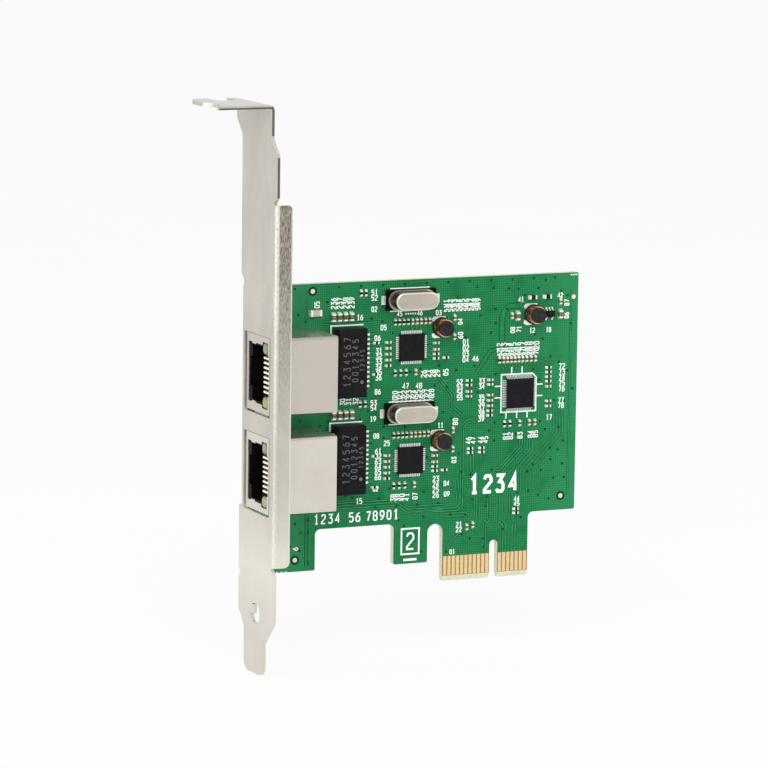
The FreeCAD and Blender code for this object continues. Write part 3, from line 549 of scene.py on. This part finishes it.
class Layer:
    """Flat work printed or etched on one side of the board, gathered into one mesh."""

    def __init__(self, side, lift):
        self.side = side
        self.level = FRONT + lift if side > 0 else BACK - lift
        self.points = []
        self.faces = []

    def polygon(self, corners):
        start = len(self.points)
        self.points += [at(x, y, self.level) for x, y in corners]
        order = range(start, start + len(corners))
        self.faces.append(tuple(order) if self.side > 0 else tuple(reversed(order)))

    def ribbon(self, line, width, closed=False):
        """Strip of even width along a line, with mitred bends."""
        pts = [Vector(p) for p in line]
        count = len(pts)
        left = []
        right = []
        for i, here in enumerate(pts):
            before = pts[i - 1] if (i > 0 or closed) else None
            after = pts[(i + 1) % count] if (i < count - 1 or closed) else None
            a = (here - before).normalized() if before is not None else None
            b = (after - here).normalized() if after is not None else None
            a = a or b
            b = b or a
            across = Vector((-(a + b).y, (a + b).x)).normalized()
            half = width / 2 / max(0.35, across.dot(Vector((-a.y, a.x))))
            left.append(here + across * half)
            right.append(here - across * half)
        last = count if closed else count - 1
        for i in range(last):
            j = (i + 1) % count
            self.polygon([right[i], right[j], left[j], left[i]])

    def disc(self, x, y, radius, sides=12):
        self.polygon([(x + radius * math.cos(math.tau * i / sides),
                       y + radius * math.sin(math.tau * i / sides)) for i in range(sides)])

    def block(self, x0, x1, y0, y1):
        """Rectangle between two places along the card and two up it."""
        self.polygon([(x0, y0), (x1, y0), (x1, y1), (x0, y1)])

    def piece(self, name, paint):
        """Make the layer one object that moves with the card."""
        mesh = bpy.data.meshes.new(name)
        mesh.from_pydata(self.points, [], self.faces)
        mesh.materials.append(paints[paint])
        piece = bpy.data.objects.new(name, mesh)
        bpy.context.scene.collection.objects.link(piece)
        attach(piece, "root")
        return piece


# Plain numerals drawn with single strokes on a grid two wide and four high.
STROKES = {
    "0": [[(0.4, 0), (0, 0.7), (0, 3.3), (0.4, 4), (1.6, 4), (2, 3.3), (2, 0.7), (1.6, 0), (0.4, 0)]],
    "1": [[(0.3, 3.2), (1.1, 4), (1.1, 0)], [(0.4, 0), (1.8, 0)]],
    "2": [[(0, 3.2), (0.4, 4), (1.6, 4), (2, 3.3), (2, 2.6), (0, 0.6), (0, 0), (2, 0)]],
    "3": [[(0, 4), (2, 4), (0.9, 2.4), (1.6, 2.3), (2, 1.7), (2, 0.6), (1.6, 0), (0.4, 0), (0, 0.6)]],
    "4": [[(1.5, 0), (1.5, 4), (0, 1.2), (2, 1.2)]],
    "5": [[(2, 4), (0.1, 4), (0, 2.3), (1.5, 2.4), (2, 1.8), (2, 0.6), (1.5, 0), (0.4, 0), (0, 0.5)]],
    "6": [[(1.8, 4), (0.7, 3.3), (0, 2), (0, 0.6), (0.4, 0), (1.6, 0), (2, 0.6), (2, 1.7),
           (1.6, 2.3), (0.4, 2.3), (0, 1.7)]],
    "7": [[(0, 4), (2, 4), (0.8, 0)]],
    "8": [[(0.4, 2.1), (0, 2.7), (0, 3.5), (0.4, 4), (1.6, 4), (2, 3.5), (2, 2.7), (1.6, 2.1),
           (2, 1.5), (2, 0.5), (1.6, 0), (0.4, 0), (0, 0.5), (0, 1.5), (0.4, 2.1), (1.6, 2.1)]],
    "9": [[(0.2, 0), (1.3, 0.7), (2, 2), (2, 3.4), (1.6, 4), (0.4, 4), (0, 3.4), (0, 2.3),
           (0.4, 1.7), (1.6, 1.7), (2, 2.3)]],
}


def numerals(layer, text, x, y, height, turn=0, stroke=0.2, spread=0.8):
    """Numerals centred on x, y; turn is in quarter turns anticlockwise."""
    unit = height * 1.06 / 4
    step = height * spread
    start = -(len(text) - 1) * step / 2
    for i, letter in enumerate(text):
        for line in STROKES.get(letter, []):
            placed = []
            for px, py in line:
                u = start + i * step + (px - 1) * unit * 0.9
                v = (py - 2) * unit
                for _ in range(turn % 4):
                    u, v = -v, u
                placed.append((x + u * layer.side, y + v))
            layer.ribbon(placed, stroke)


legend = Layer(1, PRINT_LIFT)


def counting(start, count):
    """Text for a block of labels: numbers that simply count up."""
    return ["%02d" % (start + i) for i in range(count)]


def label_row(start, count, x, y, step, height, turn=1):
    """Labels side by side along x, each standing on its end."""
    for i, text in enumerate(counting(start, count)):
        numerals(legend, text, x + (i - (count - 1) / 2) * step, y, height, turn)


def label_column(start, count, x, y, step, height):
    """Labels one above the other, reading along x."""
    for i, text in enumerate(counting(start, count)):
        numerals(legend, text, x, y + ((count - 1) / 2 - i) * step, height)


# Labels beside groups of small chips, as start, count, x, y, step and figure height.
for start, count, x, y, step, height in (
        (236, 4, -36.1, 61.3, 1.38, 1.05), (30, 2, -35.2, 40.2, 1.38, 1.0), (32, 1, -32.9, 40.2, 1, 1.0),
        (41, 9, -8.3, 60.3, 0.93, 1.0), (51, 9, -8.3, 59.1, 0.93, 0.9),
        (20, 9, -19.5, 41.2, 1.06, 1.05), (70, 9, -19.5, 39.9, 1.06, 1.0),
        (12, 9, 5.1, 50.3, 1.1, 1.1), (62, 9, 5.1, 48.95, 1.1, 0.95),
        (44, 2, -2.85, 30.3, 1.1, 1.0), (46, 2, -5.8, 30.3, 1.1, 1.0),
        (81, 2, 3.05, 30.8, 1.1, 1.05), (83, 1, 5.9, 30.8, 1, 1.0), (84, 2, 9.0, 30.9, 1.15, 1.05),
        (26, 4, -15.5, 45.3, 1.05, 1.1), (38, 4, -22.3, 18.9, 1.02, 1.1),
        (5, 1, -11.93, 45.4, 1, 1.0), (7, 1, -18.75, 19.0, 1, 1.0), (80, 1, -9.5, 34.6, 1, 1.0),
        (3, 1, -9.7, 26.3, 1, 0.9), (4, 1, -8.7, 56.2, 1, 0.9), (60, 1, -8.6, 53.2, 1, 1.0),
        (8, 1, 3.76, 53.8, 1, 0.9), (71, 1, 5.25, 53.9, 1, 0.9), (87, 1, 16.6, 59.2, 1, 0.95),
        (6, 1, 16.6, 56.4, 1, 0.9), (5, 1, -42.0, 61.2, 1, 1.0)):
    label_row(start, count, x, y, step, height)
for start, count, x, y, step, height in (
        (51, 2, -28.8, 62.7, 1.15, 1.0), (53, 2, -28.7, 39.1, 1.1, 0.95),
        (6, 1, -28.0, 53.5, 1, 0.95), (31, 6, -27.65, 47.9, 1.14, 1.0), (86, 1, -27.8, 42.0, 1, 0.95),
        (61, 6, -27.5, 26.4, 1.12, 1.0), (8, 1, -28.0, 32.5, 1, 0.9), (2, 1, -28.0, 21.1, 1, 0.9),
        (1, 4, -7.3, 49.8, 1.25, 1.0), (46, 1, -5.0, 48.0, 1, 0.95),
        (47, 1, -21.3, 42.9, 1, 1.0), (48, 1, -18.2, 42.8, 1, 1.0),
        (23, 4, -13.9, 20.7, 1.18, 1.0), (4, 1, -11.4, 21.3, 1, 0.9), (9, 1, -11.3, 19.0, 1, 0.9),
        (52, 2, -8.6, 42.6, 1.1, 0.95), (54, 2, -8.55, 40.3, 1.1, 0.95),
        (33, 2, -3.4, 42.5, 1.15, 0.95), (35, 5, -3.4, 37.2, 1.15, 1.0),
        (72, 5, 15.7, 42.9, 1.22, 1.05), (77, 2, 15.6, 37.4, 1.12, 1.0),
        (44, 2, 5.4, 16.4, 1.05, 0.9), (21, 2, -8.3, 11.6, 1.1, 0.95),
        (41, 1, 5.6, 60.3, 1, 0.85), (42, 1, 15.0, 60.85, 1, 0.85), (12, 1, 8.4, 53.5, 1, 0.9),
        (18, 1, 12.3, 53.5, 1, 0.85), (17, 1, 12.8, 34.4, 1, 0.95), (15, 1, -31.8, 18.7, 1, 1.0),
        (16, 1, -32.1, 58.1, 1, 0.95), (3, 1, -13.8, 58.3, 1, 0.9), (11, 1, -13.0, 34.0, 1, 0.9),
        (5, 1, -26.6, 55.7, 1, 0.95), (25, 1, -25.5, 30.8, 1, 0.95), (2, 1, -28.8, 59.7, 1, 0.95),
        (19, 1, -28.8, 36.2, 1, 0.95), (1, 1, -9.8, 6.3, 1, 0.85)):
    label_column(start, count, x, y, step, height)
numerals(legend, "3", -54.1, 62.6, 1.0)
numerals(legend, "6", -46.4, 9.3, 1.0, 1)
for x, text in ((-22.9, "45"), (-18.2, "46")):
    numerals(legend, text, x, 58.45, 0.85)
for i in range(5):
    legend.block(-21.6 + i * 0.55, -21.3 + i * 0.55, 58.2, 58.6)

# Plain numbers where the real card has its larger printing.
numerals(legend, "1234", -39.2, 15.3, 1.75, stroke=0.3, spread=0.93)
numerals(legend, "56", -32.8, 15.3, 1.75, stroke=0.3, spread=0.88)
numerals(legend, "78901", -26.4, 15.3, 1.75, stroke=0.3, spread=0.92)
for x, text in ((-3.2, "12"), (2.9, "34")):
    numerals(legend, text, x, 20.6, 3.3, stroke=0.72, spread=0.98)
legend.ribbon([(-21.8, 6.5), (-21.8, 12.0), (-17.7, 12.0), (-17.7, 6.5)], 0.35, closed=True)
numerals(legend, "2", -19.75, 9.25, 3.2, stroke=0.4)
legend.block(-21.3, -18.2, 5.0, 5.5)

# Outlines round the larger parts.
for y in TRANSFORMERS:
    legend.ribbon([(-38.75, y + 5.9), (-38.75, y + 7.65), (-31.3, y + 7.65)], 0.28)
    legend.ribbon([(-38.75, y - 5.9), (-38.75, y - 7.65), (-31.3, y - 7.65)], 0.28)
for y in CRYSTALS:
    legend.ribbon([(-25.2, y + 2.42), (-16.0, y + 2.42)], 0.24)
    legend.ribbon([(-25.2, y - 2.42), (-16.0, y - 2.42)], 0.24)
legend.ribbon([(1.25, 36.0), (9.55, 36.0), (9.55, 43.3), (8.65, 44.2), (1.25, 44.2)], 0.28,
              closed=True)
for i in range(4):
    legend.block(17.4 + i * 0.45, 17.65 + i * 0.45, 65.05, 65.35)
legend.piece("front_printing", "legend_white")

# ---- tracks, clear strips and vias -----------------------------------------------------------------
front_clear = Layer(1, CLEAR_LIFT)
front_tracks = Layer(1, TRACK_LIFT)
front_lanes = Layer(1, LANE_LIFT)

# Wide strips of copper with a thin clear line along both sides.
for line, width in (
        ([(1.2, 51.6), (1.2, 56.6), (1.7, 58.0), (2.8, 58.9), (5.6, 59.1)], 1.0),
        ([(-4.8, 44.8), (-1.5, 49.5), (0.4, 49.8)], 0.55),
        ([(-43.9, 5.4), (-43.9, 16.4), (-43.4, 17.4)], 0.5)):
    front_clear.ribbon(line, width + 0.36)
    front_lanes.ribbon(line, width)


def bus(clear, tracks, line, count=1, pitch=0.5, width=0.2, gap=0.14):
    """Side-by-side tracks on one layer, each in a wider clear strip on another."""
    for i in range(count):
        offset = (i - (count - 1) / 2) * pitch
        moved = []
        pts = [Vector(p) for p in line]
        for k, here in enumerate(pts):
            a = (pts[k] - pts[k - 1]).normalized() if k else (pts[1] - pts[0]).normalized()
            b = (pts[k + 1] - pts[k]).normalized() if k < len(pts) - 1 else a
            across = Vector((-(a + b).y, (a + b).x)).normalized()
            reach = offset / max(0.35, across.dot(Vector((-a.y, a.x))))
            moved.append(here + across * reach)
        clear.ribbon(moved, width + 2 * gap)
        tracks.ribbon(moved, width)


for line, count, pitch in (
        ([(15.0, 36.0), (15.0, 30.6), (7.4, 23.0), (7.4, 18.4)], 4, 0.75),
        ([(6.5, 34.3), (6.5, 28.6), (1.2, 23.4), (0.4, 23.4)], 3, 0.62),
        ([(-1.2, 18.0), (-1.2, 13.0), (-2.2, 12.0), (-2.2, 5.6)], 2, 0.6),
        ([(10.6, 31.6), (8.6, 29.6), (8.6, 27.4), (3.4, 22.2)], 2, 0.62),
        ([(-5.4, 28.0), (-5.4, 24.0), (-4.4, 22.6), (-4.4, 13.2)], 2, 0.6),
        ([(1.6, 18.0), (1.6, 12.4), (2.6, 11.2), (2.6, 5.6)], 2, 0.7),
        ([(4.0, 18.0), (4.0, 12.4), (4.8, 11.6), (4.8, 5.6)], 2, 0.7),
        ([(-10.8, 5.6), (-10.8, 8.0), (-8.4, 10.2)], 1, 0.5),
        ([(-7.0, 5.6), (-7.0, 9.0), (-5.6, 10.4)], 1, 0.5),
        ([(-28.9, 45.5), (-31.6, 41.8), (-38.8, 41.6)], 4, 0.6),
        ([(-16.0, 44.0), (-13.4, 44.0), (-10.4, 40.4), (-10.4, 38.0), (-8.0, 36.0)], 3, 0.6),
        ([(-12.0, 43.4), (-9.5, 44.4), (-9.5, 46.6)], 1, 0.5),
        ([(-14.6, 15.6), (-8.8, 15.6), (-7.8, 16.6), (-7.8, 33.4), (-6.6, 34.6), (-2.4, 34.6)], 2, 0.6),
        ([(-42.0, 17.9), (-23.0, 17.9), (-20.4, 16.2), (-12.0, 16.2)], 3, 0.6),
        ([(-11.6, 14.4), (-6.9, 14.4), (-6.1, 13.6)], 2, 0.7),
        ([(-29.6, 34.4), (-39.6, 34.6)], 3, 0.55),
        ([(-29.6, 57.2), (-40.2, 57.2)], 2, 0.55),
        ([(-41.0, 53.0), (-39.6, 53.0)], 3, 0.6),
        ([(10.7, 47.2), (13.3, 45.9)], 2, 0.7),
        ([(9.9, 44.2), (11.4, 44.2)], 1, 0.5), ([(9.9, 41.6), (11.4, 41.6)], 1, 0.5),
        ([(-0.4, 41.8), (0.8, 41.8)], 1, 0.5), ([(-0.4, 38.4), (0.8, 38.4)], 1, 0.5),
        ([(-10.0, 22.0), (-9.0, 22.0), (-8.6, 17.8)], 2, 0.6),
        ([(17.6, 62.0), (17.6, 17.0)], 1, 0.5),
        ([(-55.8, 20.0), (-44.6, 20.0), (-43.2, 18.9), (-41.4, 18.9)], 3, 0.7),
        ([(-44.3, 64.4), (-44.3, 58.6), (-45.0, 57.9)], 1, 0.5)):
    bus(front_clear, front_tracks, line, count, pitch)


def fan(start, end, count, start_step, end_step, width=0.2):
    """Short tracks whose two ends step along by themselves."""
    for i in range(count):
        bus(front_clear, front_tracks,
            [(start[0] + i * start_step[0], start[1] + i * start_step[1]),
             (end[0] + i * end_step[0], end[1] + i * end_step[1])], width=width)


# Fans of short tracks from the rows of small chips to the large ones.
fan((0.9, 46.6), (1.8, 45.4), 6, (0.95, 0), (0.75, 0))
fan((7.0, 46.6), (6.4, 45.4), 4, (0.8, 0), (0.75, 0))
for y in CONTROLLERS:
    fan((-23.4, y + 4.6), (-22.0, y + 3.5), 6, (1.1, 0), (0.75, 0))
    fan((-24.5, y - 2.6), (-23.6, y - 1.6), 6, (0, 1.0), (0, 0.65))
    fan((-16.6, y - 1.4), (-15.1, y - 2.2), 4, (0, 0.9), (0, 1.1))
    fan((-23.6, y - 4.6), (-21.6, y - 3.5), 4, (1.2, 0), (0.8, 0))
for y in TRANSFORMERS:
    fan((-29.9, y - 5.5), (-28.9, y - 5.5), 12, (0, 1), (0, 1), 0.26)
front_clear.piece("front_clear_strips", "clear_mask")
front_lanes.piece("front_lanes", "lane_mask")
front_tracks.piece("front_tracks", "track_mask")

# Bright bare ends of tracks beside the large chip, in the white print paint, whose glow is painted
# light.
ticks = Layer(1, TICK_LIFT)
for x in (2.35, 4.9, 7.4):
    ticks.block(x, x + 0.26, 34.6, 36.0)
for x in (3.55, 6.0):
    ticks.block(x, x + 0.26, 44.3, 45.8)
for y in (39.1, 41.6):
    ticks.block(-0.3, 1.2, y, y + 0.26)
    ticks.block(9.6, 11.1, y, y + 0.26)
ticks.piece("bare_track_ends", "legend_white")

# Solder lands that show beyond the round inductors.
lands = Layer(1, INDUCTOR_LAND_LIFT)
for x, y in INDUCTORS:
    for side, end in ((1, 0.9), (-1, -0.4)):
        corners = [(x - 2.25, y + side * 1.3), (x - 2.25, y + side * 1.9),
                   (x - 1.85, y + side * 2.3), (x + end, y + side * 2.3),
                   (x + end, y + side * 1.3)]
        lands.polygon(corners if side < 0 else corners[::-1])
lands.piece("inductor_lands", "solder")

# Plain numbers printed on the two transformers.
ink = Layer(1, TRANSFORMER_PRINT_LIFT)
for y in TRANSFORMERS:
    numerals(ink, "1234567", -36.6, y + 0.35, 1.4, 1, 0.17, 1.14)
    numerals(ink, "0012345", -34.7, y + 0.6, 1.2, 1, 0.16, 1.16)
    numerals(ink, "12345", -33.15, y + 0.6, 0.85, 1, 0.13, 1.18)
    ink.disc(-33.15, y - 4.0, 0.42, 14)
ink.piece("transformer_numbers", "ink_grey")

# ---- vias, kept clear of the parts -----------------------------------------------------------------
covered = []
for name, node in nodes.items():
    if name in ("circuit_board", "bracket"):
        continue
    low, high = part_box(name)
    if name.endswith(("_body", "_shield", "_can", "_base", "_core")):
        covered.append((low.x * 1000, high.x * 1000, low.z * 1000, high.z * 1000))
small = set()
for name in ("chip_ends", "bridge_chip_leads", "upper_transformer_leads", "lower_transformer_leads",
             "regulator_leads", "edge_contacts_front"):
    for vertex in nodes[name].data.vertices:
        small.add((round(vertex.co.x * 1000, 1), round(vertex.co.z * 1000, 1)))


def open_spot(x, y, room=0.55):
    """Whether a place on the board is clear of all parts."""
    for x0, x1, y0, y1 in covered:
        if x0 - room < x < x1 + room and y0 - room < y < y1 + room:
            return False
    return all(abs(x - a) > room or abs(y - b) > room for a, b in small)


def on_board(x, y):
    """Whether a place lies well inside the board's outline."""
    if not (-56.0 < x < 18.5 and 5.6 < y < 65.0):
        return False
    if y < 14.8 and x > 7.3:
        return False
    if y < 14.2 and -42.8 < x < -22.8:
        return False
    if y < 13.6 and -16.6 < x < -11.3:
        return False
    return not (y < 10.2 and abs(x) < 1.9)


via_spots = [(-52.15 + 5.06 * i, 64.8) for i in range(14)]
via_spots += [(18.6, 60.0 - 5.06 * i) for i in range(9)]
via_spots += [(-28.0 + 4.9 * i, 17.1) for i in range(4)]
printed = [(-40.8, -22.6, 13.8, 16.9), (-5.6, 5.4, 18.2, 23.0), (-22.4, -17.2, 4.6, 12.4),
           (-44.5, -41.5, 62.6, 65.4), (-48.0, -45.0, 5.4, 8.4), (17.1, 19.3, 59.2, 61.6),
           (14.5, 17.3, 15.6, 18.4)]
for i in range(VIA_TRIES):
    via_spots.append((random.uniform(-56, 18.4), random.uniform(5.8, 64.5)))
vias = Layer(1, VIA_LIFT)
hubs = Layer(1, HUB_LIFT)
taken = []
for x, y in via_spots:
    if len(taken) >= MOST_VIAS:
        break
    if any(x0 < x < x1 and y0 < y < y1 for x0, x1, y0, y1 in printed):
        continue
    spaced = all(math.hypot(x - a, y - b) > VIA_SPACING for a, b in taken)
    if spaced and on_board(x, y) and open_spot(x, y):
        taken.append((x, y))
        vias.disc(x, y, VIA_RADIUS)
        hubs.disc(x, y, HUB_RADIUS, 8)
vias.piece("front_vias", "via_mask")
hubs.piece("front_via_hubs", "clear_mask")

# Round alignment marks.
marks_clear = Layer(1, LAND_LIFT)
marks = Layer(1, PRINT_LIFT)
for x, y, clearing in ((-43.0, 64.1, 1.0), (-46.5, 6.9, 1.0), (18.2, 60.4, 0.62), (15.9, 17.0, 1.0)):
    marks_clear.disc(x, y, clearing, 24)
    marks.disc(x, y, 0.52, 20)
marks_clear.piece("mark_clearings", "via_mask")
marks.piece("alignment_marks", "mark_copper")

# ---- solder side -----------------------------------------------------------------------------------
def solder_cone(mesh_points, mesh_faces, x, y, radius, top, rise, sides=10):
    """Solder drawn up round a pin that stands out of the solder side."""
    start = len(mesh_points)
    for reach, height in ((radius, 0.0), (radius * 0.62, rise * 0.45), (top, rise)):
        for i in range(sides):
            turn = math.tau * i / sides
            mesh_points.append(at(x + reach * math.cos(turn), y + reach * math.sin(turn),
                                  BACK - height))
    for ring in range(2):
        for i in range(sides):
            a = start + ring * sides + i
            b = start + ring * sides + (i + 1) % sides
            mesh_faces.append((a, a + sides, b + sides, b))


cone_points = []
cone_faces = []
back_lands = Layer(-1, LAND_LIFT)
for height in SOCKETS:
    pins = [(SOCKET_FRONT + PIN_ROWS[i % 2], height + (i - (PIN_COUNT - 1) / 2) * PIN_PITCH)
            for i in range(PIN_COUNT)]
    pins += [(SOCKET_FRONT + LAMP_PIN_ROW, height + beside) for beside in LAMP_PINS]
    for x, y in pins:
        back_lands.disc(x, y, 0.62, 16)
        solder_cone(cone_points, cone_faces, x, y, 0.56, 0.27, 0.75)
    for beside in (-7.9, 7.9):
        x = SOCKET_FRONT + SHIELD_LEG_ROW
        y = height + beside
        back_lands.block(x - 1.05, x + 1.05, y - 0.75, y + 0.75)
back_lands.piece("back_lands", "solder")
cone_mesh = bpy.data.meshes.new("back_solder")
cone_mesh.from_pydata(cone_points, [], cone_faces)
cone_mesh.materials.append(paints["solder"])
cone_mesh.polygons.foreach_set("use_smooth", [True] * len(cone_faces))
cones = bpy.data.objects.new("back_solder", cone_mesh)
bpy.context.scene.collection.objects.link(cones)
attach(cones, "root")

back_vias = Layer(-1, VIA_LIFT)
between_sockets = sum(SOCKETS) / 2
for x, y in taken:
    if x > -43.0 or abs(y - between_sockets) > 20:
        back_vias.disc(x, y, VIA_RADIUS)
back_vias.piece("back_vias", "via_mask")

back_clear = Layer(-1, CLEAR_LIFT)
back_tracks = Layer(-1, TRACK_LIFT)
for line, count, pitch in (
        ([(-10.8, 5.6), (-10.8, 12.0), (-16.0, 20.0), (-16.0, 34.0)], 3, 0.7),
        ([(-4.0, 5.6), (-4.0, 16.0), (2.0, 22.0), (2.0, 33.0)], 3, 0.7),
        ([(4.5, 5.6), (4.5, 20.0), (9.0, 24.5), (9.0, 33.0)], 3, 0.7),
        ([(-43.0, 30.0), (-36.0, 30.0), (-31.0, 35.0), (-22.0, 35.0)], 4, 0.7),
        ([(-43.0, 50.5), (-36.0, 50.5), (-31.0, 46.0), (-22.0, 46.0)], 4, 0.7),
        ([(-20.0, 57.0), (-8.0, 57.0), (-2.0, 51.0), (8.0, 51.0), (12.0, 47.0), (12.0, 40.0)], 2, 0.7),
        ([(16.5, 58.0), (16.5, 20.0)], 2, 0.8)):
    bus(back_clear, back_tracks, line, count, pitch)
back_clear.piece("back_clear_strips", "clear_mask")
back_tracks.piece("back_tracks", "track_mask")
back_print = Layer(-1, PRINT_LIFT)
numerals(back_print, "123456", -24.0, 60.8, 1.8, stroke=0.3, spread=0.9)
numerals(back_print, "01", 5.0, 61.0, 1.4)
for x, y, text in ((-28.0, 44.5, "21"), (-12.0, 48.0, "22"), (3.0, 44.0, "23"), (-33.0, 20.0, "24"),
                   (9.5, 28.0, "25"), (-9.0, 25.0, "26")):
    numerals(back_print, text, x, y, 1.1)
back_print.piece("back_printing", "legend_white")

# ---- camera ----------------------------------------------------------------------------------------
azimuth, elevation, roll = (math.radians(v) for v in (-24.176, 8.695, 0.744))
back = Vector((math.sin(azimuth) * math.cos(elevation), -math.cos(azimuth) * math.cos(elevation),
               math.sin(elevation)))
right = (-back).cross(Vector((0, 0, 1))).normalized()
up = right.cross(-back)
right_rolled = right * math.cos(roll) + up * math.sin(roll)
up_rolled = up * math.cos(roll) - right * math.sin(roll)
camera_data = bpy.data.cameras.new("camera")
camera_data.sensor_width = 36
camera_data.lens = 206.98
camera_data.clip_start = 0.05
camera_data.clip_end = 20
camera = bpy.data.objects.new("camera", camera_data)
bpy.context.scene.collection.objects.link(camera)
axes = Matrix((right_rolled, up_rolled, back)).transposed().to_4x4()
camera.matrix_world = Matrix.Translation(Vector((-0.40548, -0.84457, 0.18517))) @ axes
bpy.context.scene.camera = camera


# ---- floor, world and lamps --------------------------------------------------------------------------
def floor_paint():
    """White floor that takes shadows and looks lit by itself to the camera."""
    paint = Paint("floor")
    tone = paint.ramp(paint.noise(0.01, 2.0), 0.3, 0.7, (0.86, 0.86, 0.86, 1), (0.9, 0.9, 0.9, 1))
    paint.finish(tone, 0.9)
    rays = paint.add("ShaderNodeLightPath")
    glow = paint.add("ShaderNodeEmission")
    glow.inputs["Strength"].default_value = 1.01
    blend = paint.add("ShaderNodeMixShader")
    seen = paint.most(rays.outputs["Is Camera Ray"], rays.outputs["Is Glossy Ray"])
    seen = paint.most(seen, rays.outputs["Is Transmission Ray"])
    paint.link(paint.times(seen, 0.86), blend.inputs[0])
    paint.link(paint.shader.outputs[0], blend.inputs[1])
    paint.link(glow.outputs[0], blend.inputs[2])
    paint.link(blend.outputs[0], paint.output.inputs["Surface"])
    return paint.material


def floor():
    """Wide flat floor just under the card."""
    reach = 6.0
    level = cad_low.z - 0.0002
    mesh = bpy.data.meshes.new("floor")
    mesh.from_pydata([(-reach, -reach, level), (reach, -reach, level), (reach, reach, level),
                      (-reach, reach, level)], [], [(0, 1, 2, 3)])
    mesh.materials.append(floor_paint())
    plane = bpy.data.objects.new("floor", mesh)
    bpy.context.scene.collection.objects.link(plane)
    plane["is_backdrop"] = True


def world():
    """Even white surroundings, dimmer as a light than they look."""
    white_world = bpy.data.worlds.new("world")
    white_world.use_nodes = True
    tree = white_world.node_tree
    tree.nodes.clear()
    out = tree.nodes.new("ShaderNodeOutputWorld")
    light = tree.nodes.new("ShaderNodeBackground")
    light.inputs["Color"].default_value = (1, 1, 1, 1)
    light.inputs["Strength"].default_value = 0.62
    white = tree.nodes.new("ShaderNodeBackground")
    white.inputs["Color"].default_value = (1, 1, 1, 1)
    white.inputs["Strength"].default_value = 1.0
    blend = tree.nodes.new("ShaderNodeMixShader")
    rays = tree.nodes.new("ShaderNodeLightPath")
    seen = tree.nodes.new("ShaderNodeMath")
    seen.operation = "MAXIMUM"
    tree.links.new(rays.outputs["Is Camera Ray"], seen.inputs[0])
    tree.links.new(rays.outputs["Is Transmission Ray"], seen.inputs[1])
    tree.links.new(seen.outputs[0], blend.inputs[0])
    tree.links.new(light.outputs[0], blend.inputs[1])
    tree.links.new(white.outputs[0], blend.inputs[2])
    tree.links.new(blend.outputs[0], out.inputs["Surface"])
    bpy.context.scene.world = white_world


def lamp(name, place, size, watts):
    """Square lamp that faces the card."""
    data = bpy.data.lights.new(name, "AREA")
    data.shape = "RECTANGLE"
    data.size = size
    data.size_y = size
    data.energy = watts
    item = bpy.data.objects.new(name, data)
    bpy.context.scene.collection.objects.link(item)
    item.location = place
    item.rotation_mode = "QUATERNION"
    item.rotation_quaternion = (Vector((-0.02, 0, 0.04)) - Vector(place)).to_track_quat("-Z", "Y")


floor()
world()
lamp("key_lamp", (-0.5, -0.9, 0.9), 0.9, 7.0)
lamp("side_lamp", (-1.1, -0.1, 0.25), 0.8, 3.5)
lamp("far_lamp", (0.9, -0.6, 0.5), 0.8, 2.5)
bpy.context.scene.view_settings.view_transform = "Standard"

low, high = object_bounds()
